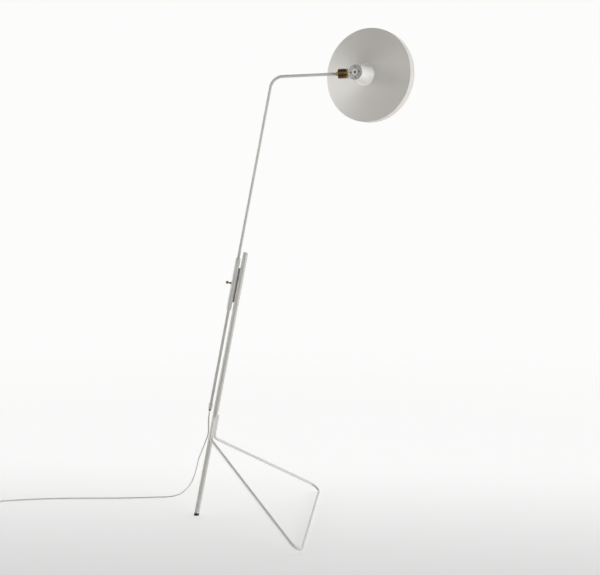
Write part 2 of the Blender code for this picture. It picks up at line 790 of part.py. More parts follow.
SHOULDER_END = STUD_REACH - NECK_RADIUS - NECK_SWELL - GAP
NUT_FACE = STUD_REACH - NECK_RADIUS + NECK_WALL + NECK_LEDGE + NUT_SEAT
BALL_FLAT = math.degrees(math.asin(STUD_RADIUS / BALL_RADIUS))
turned(
    "ball_stud",
    [(STUD_BORE, -BALL_RADIUS * math.sin(math.radians(60)))]
    + arc(0.0, 0.0, BALL_RADIUS, -60, 90 - BALL_FLAT, 12)
    + [
        (STUD_RADIUS, SHOULDER_END - SHOULDER_LENGTH),
        (SHOULDER_RADIUS, SHOULDER_END - SHOULDER_LENGTH),
        (SHOULDER_RADIUS, SHOULDER_END),
        (STUD_RADIUS, SHOULDER_END),
        (STUD_RADIUS, STUD_TIP),
        (STUD_BORE, STUD_TIP),
    ],
    BRASS,
    STUD,
)
stud_nut = piece(
    "stud_nut",
    cylinder_mesh("stud_nut", NUT_RADIUS, NUT_FACE, NUT_FACE + NUT_LENGTH, 6),
    BARE_STEEL,
    STUD,
)
bore(stud_nut, STUD_RADIUS + GAP, 0.0, 2 * STUD_REACH, STUD)


# ---- shade: spun neck with its vent plate, and the spun cone with its deep rim ----

NECK_INNER = NECK_RADIUS - NECK_WALL
NECK_NARROW = NECK_INNER - NECK_LEDGE
shade_neck = turned(
    "shade_neck",
    [(NECK_INNER, -NECK_BACK), (NECK_RADIUS, -NECK_BACK), (NECK_RADIUS + NECK_SWELL, NECK_WAIST)]
    + [(NECK_RADIUS + flare, FLANGE_FRONT - behind) for flare, behind in NECK_FLARE]
    + [(FLANGE_RADIUS, FLANGE_FRONT - FLANGE_THICKNESS), (FLANGE_RADIUS, FLANGE_FRONT)]
    + [(NECK_RADIUS + flare, FLANGE_FRONT - behind) for flare, behind in NECK_FLARE_INSIDE]
    + [(NECK_NARROW, NECK_LEDGE_END), (NECK_NARROW, LEDGE), (NECK_INNER, LEDGE)],
    WHITE_ALUMINIUM,
    HEAD,
    36,
)
bore(shade_neck, STUD_RADIUS + GAP, 0.0, STUD_REACH, STUD)
vent_plate = ring(
    "vent_plate",
    NIPPLE_RADIUS + GAP,
    NECK_INNER - GAP,
    PLATE_BACK,
    PLATE_BACK + PLATE_THICKNESS,
    BARE_STEEL,
    HEAD,
    36,
)
for quarter in range(4):
    hole = Matrix.Rotation(math.tau * quarter / 4, 4, "Z") @ Matrix.Translation((VENT_CIRCLE, 0, 0))
    bore(vent_plate, VENT_RADIUS, -2 * NECK_BACK, 0.0, HEAD @ hole, 12)

SHADE_RIM = SHADE_BACK + SHADE_RISE + SHADE_RIM_DEPTH
CONE_EDGE = SHADE_BACK + SHADE_RISE
INSIDE = SHADE_RADIUS - SHADE_WALL
turned(
    "shade",
    [
        (HOLDER_RADIUS + GAP, SHADE_BACK),
        (SHADE_FLAT, SHADE_BACK),
        (SHADE_RADIUS - SHADE_SHOULDER, CONE_EDGE),
        (SHADE_RADIUS - 0.3 * SHADE_SHOULDER, CONE_EDGE + 0.3 * SHADE_SHOULDER),
        (SHADE_RADIUS, CONE_EDGE + SHADE_SHOULDER),
        (SHADE_RADIUS, SHADE_RIM - EDGE),
        (SHADE_RADIUS - EDGE, SHADE_RIM),
        (INSIDE - RIM_BEAD, SHADE_RIM),
        (INSIDE - RIM_BEAD, SHADE_RIM - RIM_BEAD_DEPTH),
        (INSIDE, SHADE_RIM - RIM_BEAD_END),
        (INSIDE, CONE_EDGE + SHADE_SHOULDER + GAP),
        (INSIDE - 0.3 * SHADE_SHOULDER, CONE_EDGE + 0.3 * SHADE_SHOULDER + SHADE_WALL_RISE),
        (INSIDE - SHADE_SHOULDER, CONE_EDGE + SHADE_WALL),
        (SHADE_FLAT, SHADE_FRONT),
        (HOLDER_RADIUS + GAP, SHADE_FRONT),
    ],
    WHITE_ALUMINIUM,
    HEAD,
    56,
)


# ---- lamp holder: hollow nipple, ring nut, holder with its contact block, ring and lead ----

NIPPLE_START = PLATE_BACK - GAP - RING_NUT_LENGTH
ring(
    "holder_nipple",
    NIPPLE_BORE,
    NIPPLE_RADIUS,
    NIPPLE_START,
    NIPPLE_START + NIPPLE_LENGTH,
    WHITE_STEEL,
    HEAD,
    24,
)
NUT_CORNER = 0.0008
turned(
    "nipple_ring_nut",
    [
        (NIPPLE_RADIUS + GAP, NIPPLE_START),
        (RING_NUT_RADIUS - NUT_CORNER, NIPPLE_START),
        (RING_NUT_RADIUS, NIPPLE_START + NUT_CORNER),
        (RING_NUT_RADIUS, PLATE_BACK - GAP),
        (NIPPLE_RADIUS + GAP, PLATE_BACK - GAP),
    ],
    WHITE_STEEL,
    HEAD,
)
HOLDER_FLOOR = HOLDER_BACK + HOLDER_WALL
turned(
    "lamp_holder",
    [
        (NIPPLE_RADIUS + GAP, HOLDER_BACK),
        (HOLDER_RADIUS - HOLDER_CORNER, HOLDER_BACK),
        (HOLDER_RADIUS, HOLDER_BACK + HOLDER_CORNER),
        (HOLDER_RADIUS, HOLDER_FRONT),
        (HOLDER_BORE, HOLDER_FRONT),
        (HOLDER_BORE, BLOCK_BACK + BLOCK_THICKNESS + HOLDER_STEP),
        (HOLDER_RADIUS - HOLDER_WALL, BLOCK_BACK + BLOCK_THICKNESS),
        (HOLDER_RADIUS - HOLDER_WALL, HOLDER_FLOOR),
        (NIPPLE_RADIUS + GAP, HOLDER_FLOOR),
    ],
    BAKELITE,
    HEAD,
)
turned(
    "contact_block",
    [
        (0.0, BLOCK_BACK),
        (HOLDER_BORE - GAP, BLOCK_BACK),
        (HOLDER_BORE - GAP, BLOCK_BACK + BLOCK_THICKNESS - GAP),
        (0.0, BLOCK_BACK + BLOCK_THICKNESS - GAP),
    ],
    CERAMIC,
    HEAD,
)
turned(
    "centre_contact",
    [
        (0.0, BLOCK_BACK + BLOCK_THICKNESS),
        (CONTACT_RADIUS, BLOCK_BACK + BLOCK_THICKNESS),
        (CONTACT_TIP_RADIUS, BULB_SEAT - GAP),
        (0.0, BULB_SEAT - GAP),
    ],
    BRASS,
    HEAD,
    16,
)
ring(
    "shade_ring",
    HOLDER_RADIUS + GAP,
    SHADE_RING_RADIUS,
    SHADE_FRONT + GAP,
    SHADE_FRONT + GAP + SHADE_RING_LENGTH,
    BAKELITE,
    HEAD,
)
LEAD_FROM = STUD_REACH - STUD_TIP - GAP
cord(
    "holder_lead",
    [HEAD @ Vector((-LEAD_FROM, 0, 0))]
    + [HEAD @ Vector((inward - LEAD_FROM, 0, forward)) for inward, forward in HOLDER_LEAD_BEND]
    + [HEAD @ Vector((HOLDER_LEAD_END - LEAD_FROM, 0, HOLDER_BACK - GAP))],
    HOLDER_LEAD_RADIUS,
    WHITE_CORD,
)


# ---- bulb: screw cap and opal glass ----

turned(
    "bulb_cap",
    [(0.0, BULB_SEAT)]
    + [(radius, BULB_SEAT + height) for radius, height in BULB_CAP_TIP]
    + [
        (BULB_CAP_RADIUS, BULB_SEAT + BULB_CAP_THREAD),
        (BULB_CAP_RADIUS, BULB_SEAT + BULB_CAP_LENGTH),
        (0.0, BULB_SEAT + BULB_CAP_LENGTH),
    ],
    BRASS,
    HEAD,
)
GLASS_BACK = BULB_SEAT + BULB_CAP_LENGTH + GAP
GLASS_CENTRE = GLASS_BACK + BULB_LENGTH - BULB_RADIUS
turned(
    "bulb_glass",
    [(0.0, GLASS_BACK), (BULB_CAP_RADIUS - BULB_CAP_LIP, GLASS_BACK)]
    + [(BULB_CAP_RADIUS - BULB_CAP_LIP, HOLDER_FRONT + 2 * GAP)]
    + arc(0.0, GLASS_CENTRE, BULB_RADIUS, -40, 80, 10)
    + [(0.0, GLASS_CENTRE + BULB_RADIUS)],
    OPAL_GLASS,
    HEAD,
)


# ---- cord: hanging stretch, floor stretch, coil, tail and plug ----

ring(
    "cord_coil",
    COIL_INNER,
    COIL_OUTER,
    FLOOR_GAP,
    COIL_HEIGHT,
    WHITE_CORD,
    Matrix.Translation(COIL_CENTRE),
    32,
)


def outside_coil(point):
    return (point.xy - COIL_CENTRE.xy).length > COIL_OUTER + CORD_RADIUS + GAP


route = smooth_route(DROP_ROUTE + FLOOR_ROUTE, CORD_STEP)
landing = Vector(DROP_ROUTE[-1])
nearest = min(range(len(route)), key=lambda i: (route[i] - landing).length)
cord("cord_drop", route[: nearest + 1], CORD_RADIUS, WHITE_CORD)
onward = (route[nearest + 1] - route[nearest]).normalized()
lying = [route[nearest] + onward * GAP] + route[nearest + 1 :]
cord("cord_run", [point for point in lying if outside_coil(point)], CORD_RADIUS, WHITE_CORD)
PLUG = (
    Matrix.Translation(PLUG_PLACE + Vector((0, 0, PLUG_THICKNESS / 2 + FLOOR_GAP)))
    @ Matrix.Rotation(-PLUG_TURN, 4, "Z")
    @ Matrix.Rotation(math.radians(-90), 4, "X")
)
PLUG_BACK = -PLUG_LENGTH / 2
RELIEF_BACK = PLUG_BACK - GAP - RELIEF_LENGTH
entering = [PLUG @ Vector((0, 0, RELIEF_BACK - back)) for back in (STRAIGHT_TAIL, 2 * GAP)]
cord("cord_tail", smooth_route(TAIL_ROUTE + entering, CORD_STEP / 2), CORD_RADIUS, WHITE_CORD)
turned(
    "plug_relief",
    [
        (0.0, RELIEF_BACK),
        (CORD_RADIUS + RELIEF_LIP, RELIEF_BACK),
        (RELIEF_RADIUS, PLUG_BACK - GAP),
        (0.0, PLUG_BACK - GAP),
    ],
    WHITE_PLASTIC,
    PLUG,
    16,
)
block("plug_body", (PLUG_WIDTH, PLUG_THICKNESS, PLUG_LENGTH), PLUG_CORNER, WHITE_PLASTIC, PLUG)
for number, side in ((1, -1), (2, 1)):
    turned(
        f"plug_pin_{number}",
        [
            (0.0, -PLUG_BACK + GAP),
            (PIN_RADIUS, -PLUG_BACK + GAP),
            (PIN_RADIUS, -PLUG_BACK + PIN_LENGTH - PIN_POINT),
            (PIN_RADIUS - PIN_POINT, -PLUG_BACK + PIN_LENGTH),
            (0.0, -PLUG_BACK + PIN_LENGTH),
        ],
        BRASS,
        PLUG @ Matrix.Translation((side * PIN_SPACING / 2, 0, 0)),
        12,
    )
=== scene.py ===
"""Adjustable arm floor lamp: a leaning steel post on a bent bar base, a thin arm that slides and turns in a
clamped sleeve, and a shallow spun shade that a brass ball joint holds."""

import json
import math

import bmesh
import bpy
from mathutils import Matrix, Vector


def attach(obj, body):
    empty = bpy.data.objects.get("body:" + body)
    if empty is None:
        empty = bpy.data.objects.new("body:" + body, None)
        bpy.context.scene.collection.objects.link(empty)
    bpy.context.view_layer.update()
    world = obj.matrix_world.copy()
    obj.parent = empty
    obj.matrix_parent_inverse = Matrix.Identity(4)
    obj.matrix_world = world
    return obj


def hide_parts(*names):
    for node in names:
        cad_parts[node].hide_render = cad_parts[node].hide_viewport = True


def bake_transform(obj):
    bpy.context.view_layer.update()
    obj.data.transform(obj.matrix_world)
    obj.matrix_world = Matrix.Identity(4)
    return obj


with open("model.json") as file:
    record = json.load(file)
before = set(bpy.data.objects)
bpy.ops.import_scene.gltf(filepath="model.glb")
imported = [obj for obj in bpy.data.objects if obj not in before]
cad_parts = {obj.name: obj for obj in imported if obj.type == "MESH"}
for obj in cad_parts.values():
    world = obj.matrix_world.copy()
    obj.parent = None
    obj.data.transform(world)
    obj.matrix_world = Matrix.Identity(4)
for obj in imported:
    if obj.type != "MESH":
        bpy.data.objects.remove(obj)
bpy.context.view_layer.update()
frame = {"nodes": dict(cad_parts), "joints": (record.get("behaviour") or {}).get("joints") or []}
joints = {joint["name"]: joint for joint in frame["joints"]}


# ---- camera: at the height of someone's chest, looking nearly level at the lamp's front ----
# A 51 mm lens three metres away, turned a few degrees so that the arm runs to the right.

camera_data = bpy.data.cameras.new("studio_camera")
camera_data.lens = 51.0
camera_data.sensor_width = 36.0
camera_data.clip_end = 100.0
camera = bpy.data.objects.new("studio_camera", camera_data)
bpy.context.scene.collection.objects.link(camera)
bpy.context.scene.camera = camera
CAMERA_TURN = math.radians(5.75)
CAMERA_DIP = 0.0309
camera.location = (0.6683, -2.9517, 0.9045)
looking = Vector(
    (
        -math.sin(CAMERA_TURN) * math.cos(CAMERA_DIP),
        math.cos(CAMERA_TURN) * math.cos(CAMERA_DIP),
        -math.sin(CAMERA_DIP),
    )
)
camera.rotation_euler = looking.to_track_quat("-Z", "Y").to_euler()


# ---- post: 18 mm steel tube, sprayed warm white, that leans over its base ----
# Its lower end is cut square and holds a rubber foot; a plastic plug closes the top.

POST_AXIS = Vector(joints["arm_slide"]["axis"]).normalized()


def frame_on(origin, axis, towards):
    """A frame with its Z along the axis, and its X as near the towards direction as it can be."""
    axis = Vector(axis).normalized()
    side = axis.cross(Vector(towards)).normalized()
    return Matrix.Translation(origin) @ Matrix((side.cross(axis), side, axis)).transposed().to_4x4()


def finished(name, shape, place, surface, sharp=35):
    """The object of a bmesh, put in place in its own mesh."""
    bmesh.ops.remove_doubles(shape, verts=shape.verts[:], dist=1e-6)
    bmesh.ops.recalc_face_normals(shape, faces=shape.faces[:])
    shape.transform(place)
    mesh = bpy.data.meshes.new(name)
    shape.to_mesh(mesh)
    shape.free()
    mesh.shade_smooth()
    mesh.set_sharp_from_angle(angle=math.radians(sharp))
    mesh.materials.append(surface)
    made = bpy.data.objects.new(name, mesh)
    bpy.context.scene.collection.objects.link(made)
    return made


def eased(outline, radius, steps=3):
    """A lathe outline with its corners rounded as a tool or a coat of paint leaves them."""
    points = [Vector(point) for point in outline]
    closed = outline[0][0] > 1e-6
    rounded = []
    for i, corner in enumerate(points):
        if not closed and i in (0, len(points) - 1):
            rounded.append(corner)
            continue
        back = points[i - 1] - corner
        on = points[(i + 1) % len(points)] - corner
        between = back.angle(on)
        if between > math.radians(155):
            rounded.append(corner)
            continue
        cut = min(radius / math.tan(between / 2), 0.45 * back.length, 0.45 * on.length)
        start = corner + back.normalized() * cut
        end = corner + on.normalized() * cut
        for k in range(steps + 1):
            t = k / steps
            rounded.append(start * (1 - t) ** 2 + corner * 2 * t * (1 - t) + end * t * t)
    return [tuple(point) for point in rounded]


def turned(name, outline, place, surface, sides=72, sharp=35):
    """A lathe piece: (radius, height) points from axis to axis, or a closed loop off it."""
    shape = bmesh.new()
    points = [shape.verts.new((radius, 0.0, height)) for radius, height in outline]
    edges = [shape.edges.new(pair) for pair in zip(points, points[1:])]
    if outline[0][0] > 1e-6:
        edges.append(shape.edges.new((points[-1], points[0])))
    bmesh.ops.spin(
        shape,
        geom=points + edges,
        axis=(0, 0, 1),
        cent=(0, 0, 0),
        angle=math.tau,
        steps=sides,
        use_merge=True,
    )
    return finished(name, shape, place, surface, sharp)


def sleeve_outline(inner, outer, foot, top):
    return [(inner, foot), (outer, foot), (outer, top), (inner, top)]


def shader_group(name, inputs, outputs):
    """An empty node group with these inputs and outputs, and its first two nodes."""
    group = bpy.data.node_groups.new(name, "ShaderNodeTree")
    kinds = {"vector": "NodeSocketVector", "colour": "NodeSocketColor", "value": "NodeSocketFloat"}
    for label, kind in inputs:
        group.interface.new_socket(label, in_out="INPUT", socket_type=kinds[kind])
    for label, kind in outputs:
        group.interface.new_socket(label, in_out="OUTPUT", socket_type=kinds[kind])
    return group, group.nodes.new("NodeGroupInput"), group.nodes.new("NodeGroupOutput")


def noise(group, vector, scale, detail=2.0, rough=0.5, distort=0.0):
    made = group.nodes.new("ShaderNodeTexNoise")
    if isinstance(scale, (int, float)):
        made.inputs["Scale"].default_value = scale
    else:
        group.links.new(scale, made.inputs["Scale"])
    made.inputs["Detail"].default_value = detail
    made.inputs["Roughness"].default_value = rough
    made.inputs["Distortion"].default_value = distort
    group.links.new(vector, made.inputs["Vector"])
    return made.outputs["Fac"]


def stretched(group, value, low, high, to_low, to_high):
    """A value from one range to another, held at its ends."""
    made = group.nodes.new("ShaderNodeMapRange")
    made.inputs["From Min"].default_value = low
    made.inputs["From Max"].default_value = high
    made.inputs["To Min"].default_value = to_low
    made.inputs["To Max"].default_value = to_high
    group.links.new(value, made.inputs["Value"])
    return made.outputs["Result"]


def sum_of(group, operation, a, b):
    """What a maths node makes of two values."""
    made = group.nodes.new("ShaderNodeMath")
    made.operation = operation
    for socket, value in zip(made.inputs, (a, b)):
        if isinstance(value, (int, float)):
            socket.default_value = value
        else:
            group.links.new(value, socket)
    return made.outputs["Value"]


def blended(group, share, a, b, how="MIX"):
    """Colour b over colour a, by a share from 0 to 1."""
    made = group.nodes.new("ShaderNodeMix")
    made.data_type = "RGBA"
    made.blend_type = how
    for socket, value in ((made.inputs["Factor"], share), (made.inputs["A"], a), (made.inputs["B"], b)):
        if isinstance(value, bpy.types.NodeSocket):
            group.links.new(value, socket)
        else:
            socket.default_value = value
    return made.outputs["Result"]


# Sprayed paint: fine orange peel, faint clouds in its tone, and a few small rubbed marks.
def paint_coat_group():
    group, given, out = shader_group(
        "paint_coat",
        [("Vector", "vector"), ("Paint", "colour"), ("Rubbed", "colour")]
        + [("Peel Scale", "value"), ("Rubbing", "value"), ("Gloss", "value")],
        [("Color", "colour"), ("Roughness", "value"), ("Height", "value")],
    )
    vector = given.outputs["Vector"]
    clouds = noise(group, vector, 7.0, 3.0, 0.55)
    marks = noise(group, vector, 55.0, 6.0, 0.72, 0.6)
    peel = noise(group, vector, given.outputs["Peel Scale"], 2.0, 0.5)
    dust = noise(group, vector, 260.0, 4.0, 0.6)
    yellowed = stretched(group, clouds, 0.35, 0.65, 0.0, 0.10)
    tone = blended(group, yellowed, given.outputs["Paint"], (0.62, 0.58, 0.50, 1.0))
    worn = stretched(group, marks, 0.66, 0.74, 0.0, 1.0)
    rubbed = sum_of(group, "MULTIPLY", worn, given.outputs["Rubbing"])
    colour = blended(group, rubbed, tone, given.outputs["Rubbed"])
    group.links.new(colour, out.inputs["Color"])
    uneven = stretched(group, dust, 0.3, 0.7, -0.03, 0.05)
    rough = sum_of(group, "ADD", given.outputs["Gloss"], uneven)
    rough = sum_of(group, "ADD", rough, sum_of(group, "MULTIPLY", rubbed, 0.2))
    group.links.new(rough, out.inputs["Roughness"])
    height = sum_of(group, "SUBTRACT", peel, sum_of(group, "MULTIPLY", rubbed, 0.8))
    group.links.new(height, out.inputs["Height"])
    return group


paint_coat = paint_coat_group()


def new_surface(name, metallic=0.0, roughness=0.5):
    """A material with its Principled shader, its object coordinates and a bump, for a group to feed."""
    made = bpy.data.materials.new(name)
    made.use_nodes = True
    tree = made.node_tree
    shader = tree.nodes["Principled BSDF"]
    shader.inputs["Metallic"].default_value = metallic
    shader.inputs["Roughness"].default_value = roughness
    where = tree.nodes.new("ShaderNodeTexCoord").outputs["Object"]
    bump = tree.nodes.new("ShaderNodeBump")
    tree.links.new(bump.outputs["Normal"], shader.inputs["Normal"])
    return made, tree, shader, where, bump


def on_axis(tree, where, place):
    """Object coordinates seen from a piece's own frame, with Z along its axis."""
    turn = tree.nodes.new("ShaderNodeMapping")
    turn.vector_type = "TEXTURE"
    turn.inputs["Location"].default_value = place.translation
    turn.inputs["Rotation"].default_value = place.to_euler()
    tree.links.new(where, turn.inputs["Vector"])
    return turn.outputs["Vector"]


def coated(tree, group, shader, bump, vector, values, strength, depth):
    """Places a coat's group in a material with its own values, and feeds the shader from it."""
    coat = tree.nodes.new("ShaderNodeGroup")
    coat.node_tree = group
    tree.links.new(vector, coat.inputs["Vector"])
    for label, value in values.items():
        coat.inputs[label].default_value = value
    for label in ("Color", "Roughness"):
        socket = "Base Color" if label == "Color" else label
        tree.links.new(coat.outputs[label], shader.inputs[socket])
    tree.links.new(coat.outputs["Height"], bump.inputs["Height"])
    bump.inputs["Strength"].default_value = strength
    bump.inputs["Distance"].default_value = depth
    return coat


WARM_WHITE = (0.61, 0.595, 0.56, 1.0)


def painted(name, paint, peel_scale, rubbing, gloss):
    made, tree, shader, where, bump = new_surface(name)
    values = {"Paint": paint, "Rubbed": (0.42, 0.40, 0.37, 1.0), "Peel Scale": peel_scale}
    values.update({"Rubbing": rubbing, "Gloss": gloss})
    coated(tree, paint_coat, shader, bump, where, values, 0.12, 0.0002)
    shader.inputs["Specular IOR Level"].default_value = 0.7
    shader.inputs["Coat Weight"].default_value = 0.12
    shader.inputs["Coat Roughness"].default_value = 0.25
    return made


white_tube_paint = painted("white_tube_paint", WARM_WHITE, 1400.0, 0.35, 0.40)

POST_LENGTH = 0.950
POST_RADIUS = 0.009
POST_BORE = 0.0075
TUBE_FOOT = 0.009
GAP = 0.0003
post = frame_on((0, 0, 0), POST_AXIS, (1, 0, 0))
post_tube = turned(
    "post_tube_painted",
    eased(sleeve_outline(POST_BORE, POST_RADIUS, TUBE_FOOT, POST_LENGTH), 0.0004),
    post,
    white_tube_paint,
)
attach(post_tube, "stand")
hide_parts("post_tube")


# ---- post's top plug: a pressed-in cap of white plastic with a low crown ----
# Its spigot grips the tube's bore and its rim sits on the tube's end.

def plastic_group():
    group, given, out = shader_group(
        "moulded_plastic",
        [("Vector", "vector"), ("Plastic", "colour"), ("Grain Scale", "value"), ("Gloss", "value")],
        [("Color", "colour"), ("Roughness", "value"), ("Height", "value")],
    )
    vector = given.outputs["Vector"]
    flow = noise(group, vector, 90.0, 3.0, 0.5, 1.5)
    grain = noise(group, vector, given.outputs["Grain Scale"], 3.0, 0.6)
    handled = noise(group, vector, 35.0, 4.0, 0.6)
    darker = blended(group, 0.14, given.outputs["Plastic"], (0.25, 0.22, 0.18, 1.0))
    colour = blended(group, stretched(group, flow, 0.35, 0.7, 0.0, 0.6), given.outputs["Plastic"], darker)
    group.links.new(colour, out.inputs["Color"])
    rough = sum_of(group, "ADD", given.outputs["Gloss"], stretched(group, handled, 0.3, 0.7, -0.06, 0.10))
    group.links.new(rough, out.inputs["Roughness"])
    group.links.new(grain, out.inputs["Height"])
    return group


moulded_plastic = plastic_group()


def moulded(name, plastic, grain_scale, gloss, strength=0.15):
    made, tree, shader, where, bump = new_surface(name)
    values = {"Plastic": plastic, "Grain Scale": grain_scale, "Gloss": gloss}
    coated(tree, moulded_plastic, shader, bump, where, values, strength, 0.0001)
    return made


white_plastic = moulded("white_plastic_moulded", (0.74, 0.72, 0.68, 1.0), 2200.0, 0.38)
PLUG_TOP = POST_LENGTH + 0.0025
PLUG_FOOT = POST_LENGTH - 0.012
SPIGOT_RADIUS = POST_BORE - GAP
top_plug = turned(
    "post_top_plug_crowned",
    [(0.0, PLUG_FOOT), (SPIGOT_RADIUS, PLUG_FOOT), (SPIGOT_RADIUS, POST_LENGTH + GAP)]
    + [(POST_RADIUS, POST_LENGTH + GAP), (POST_RADIUS, PLUG_TOP - 0.0011)]
    + [(POST_RADIUS - 0.0005, PLUG_TOP - 0.0005), (POST_RADIUS - 0.0015, PLUG_TOP - 0.0002)]
    + [(POST_RADIUS / 2, PLUG_TOP), (0.0, PLUG_TOP)],
    post,
    white_plastic,
    48,
)
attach(top_plug, "stand")
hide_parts("post_top_plug")


# ---- post's foot: a black rubber ferrule pushed into the tube, cut level with the floor ----
# It is a little narrower than the tube, and two moulded grooves run round it.

black_rubber = moulded("black_rubber_moulded", (0.028, 0.027, 0.026, 1.0), 900.0, 0.72, 0.4)
FOOT_RADIUS = 0.0088
FOOT_SHOULDER = TUBE_FOOT - GAP
FOOT_GROOVE = 0.0006
SPIGOT_TOP = TUBE_FOOT + 0.014
BELOW_FLOOR = -0.01
foot_side = [(FOOT_RADIUS, BELOW_FLOOR)]
for groove in (0.0040, 0.0062):
    foot_side += [(FOOT_RADIUS, groove - FOOT_GROOVE), (FOOT_RADIUS - FOOT_GROOVE, groove - 0.0002)]
    foot_side += [(FOOT_RADIUS - FOOT_GROOVE, groove + 0.0002), (FOOT_RADIUS, groove + FOOT_GROOVE)]
shape = bmesh.new()
outline = [(0.0, BELOW_FLOOR), *foot_side, (FOOT_RADIUS, FOOT_SHOULDER - 0.0007)]
outline += [(FOOT_RADIUS - 0.0007, FOOT_SHOULDER), (SPIGOT_RADIUS, FOOT_SHOULDER)]
outline += [(SPIGOT_RADIUS, SPIGOT_TOP), (0.0, SPIGOT_TOP)]
foot = turned("rubber_foot", outline, post, black_rubber, 64)
shape.from_mesh(foot.data)
bmesh.ops.bisect_plane(
    shape,
    geom=shape.verts[:] + shape.edges[:] + shape.faces[:],
    dist=1e-6,
    plane_co=(0, 0, 0.00002),
    plane_no=(0, 0, 1),
    clear_inner=True,
)
bmesh.ops.holes_fill(shape, edges=[edge for edge in shape.edges if edge.is_boundary])
bmesh.ops.recalc_face_normals(shape, faces=shape.faces[:])
shape.to_mesh(foot.data)
shape.free()
foot.data.shade_smooth()
foot.data.set_sharp_from_angle(angle=math.radians(35))
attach(foot, "stand")
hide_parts("post_foot")


# ---- base: one 10 mm steel bar bent into a triangle, sprayed white ----
# Its two ends run up beside the post and are cut square; the crossbar lies on the floor. Its paint is set a
# little lighter than the post's: painted light on the bar.

BAR_RADIUS = 0.005
CROSSBAR_X = 0.4115
CROSSBAR_HALF = 0.3923
BAR_LIFT = BAR_RADIUS + 0.0001
BAR_ANGLES = {"near": math.radians(-90), "far": math.radians(53)}
BAR_TOPS = {"near": 0.360, "far": 0.366}
BAR_BEND = 0.2836


def around(angle, reach, height):
    """A place beside an axis, at an angle and a reach from it."""
    return Vector((reach * math.cos(angle), reach * math.sin(angle), height))


def beside_post(bar, height):
    return post @ around(BAR_ANGLES[bar], POST_RADIUS + GAP + BAR_RADIUS, height)


def bent_bar(name, corners, bends, radius, surface, sides=28, steps=14, wall=0.0):
    """A round bar or tube that runs straight between corners and is spun round a bend at each."""
    shape = bmesh.new()
    heading = (corners[1] - corners[0]).normalized()
    start = frame_on(corners[0], heading, (0, 0.3, 1))
    bmesh.ops.create_circle(shape, radius=radius, segments=sides, matrix=start)
    first = shape.edges[:]
    rims = first
    place = corners[0]
    for corner, following, bend in zip(corners[1:], corners[2:] + [None], bends + [0.0]):
        heading = (corner - place).normalized()
        turn = heading.angle(following - corner) if following else 0.0
        set_back = bend * math.tan(turn / 2)
        end = corner - heading * set_back
        made = bmesh.ops.extrude_edge_only(shape, edges=rims)["geom"]
        rims = [item for item in made if isinstance(item, bmesh.types.BMEdge)]
        moved = list({vert for edge in rims for vert in edge.verts})
        bmesh.ops.translate(shape, verts=moved, vec=end - place)
        place = end
        if following:
            onward = (following - corner).normalized()
            axis = heading.cross(onward).normalized()
            centre = end + axis.cross(heading) * bend
            made = bmesh.ops.spin(shape, geom=rims, cent=centre, axis=axis, angle=turn, steps=steps)
            rims = [item for item in made["geom_last"] if isinstance(item, bmesh.types.BMEdge)]
            place = corner + onward * set_back
    if not wall:
        bmesh.ops.contextual_create(shape, geom=first)
        bmesh.ops.contextual_create(shape, geom=rims)
        bmesh.ops.recalc_face_normals(shape, faces=shape.faces[:])
        bmesh.ops.bevel(
            shape,
            geom=[*first, *rims],
            offset=0.12 * radius,
            segments=2,
            profile=0.5,
            affect="EDGES",
            material=-1,
        )
    made = finished(name, shape, Matrix(), surface)
    if wall:
        skin = made.modifiers.new("tube_wall", "SOLIDIFY")
        skin.thickness = wall
        skin.offset = -1.0
        skin.use_even_offset = True
    return made


# The bar's paint is a lighter copy of the tubes' white: painted light.
base_painted_light = painted("base_bar_painted_light", (0.72, 0.705, 0.67, 1.0), 1400.0, 0.35, 0.40)
base_bar = bent_bar(
    "base_bar",
    [
        beside_post("near", BAR_TOPS["near"]),
        beside_post("near", BAR_BEND),
        Vector((CROSSBAR_X, -CROSSBAR_HALF, BAR_LIFT)),
        Vector((CROSSBAR_X, CROSSBAR_HALF, BAR_LIFT)),
        beside_post("far", BAR_BEND),
        beside_post("far", BAR_TOPS["far"]),
    ],
    [0.025, 0.028, 0.028, 0.025],
    BAR_RADIUS,
    base_painted_light,
)
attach(base_bar, "stand")
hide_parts("base_loop")


# ---- welds: thin beads where the bar's ends and the web plate are joined to the tubes ----
# They are laid by hand, so each ripples a little, and they are painted over with the rest.

def weld_bead(name, foot, top, along, radius=0.0013):
    """A rippled bead from foot to top."""
    length = (top - foot).length
    count = max(6, round(length / 0.0016))
    outline = [(0.0, 0.0)]
    for i in range(2 * count + 1):
        share = i / (2 * count)
        taper = min(1.0, 6 * share, 6 * (1 - share))
        swell = 0.14 if i % 2 else 0.0
        outline.append((radius * (0.45 + 0.55 * taper) * (0.86 + swell), length * (0.01 + 0.98 * share)))
    outline.append((0.0, length))
    made = turned(name, outline, frame_on(foot, top - foot, along), white_tube_paint, 14, 60)
    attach(made, "stand")
    return made


for bar in ("near", "far"):
    for side, turn in (("left", math.radians(-19)), ("right", math.radians(19))):
        angle = BAR_ANGLES[bar] + turn
        foot_of_bead = post @ around(angle, POST_RADIUS + 0.0008, BAR_BEND + 0.0164)
        top_of_bead = post @ around(angle, POST_RADIUS + 0.0008, BAR_TOPS[bar] - 0.003)
        weld_bead(f"{bar}_bar_weld_{side}", foot_of_bead, top_of_bead, (1, 0, 0))


# ---- guide sleeve: a short steel tube beside the post that the arm slides and turns in ----
# A drilled hole in its side lets the clamp's pad reach the arm.

ROD_OFFSET = 0.0225
rod = post @ Matrix.Translation((-ROD_OFFSET, 0, 0))
ACROSS = post.to_3x3() @ Vector((-1, 0, 0))
SLEEVE_FOOT = 0.7446
SLEEVE_TOP = SLEEVE_FOOT + 0.1812
SLEEVE_RADIUS = 0.00825
SLEEVE_BORE = 0.00675
SCREW_HEIGHT = 0.8368
SCREW_HOLE = 0.0028
screw_place = frame_on(rod @ Vector((0, 0, SCREW_HEIGHT)), ACROSS, POST_AXIS)


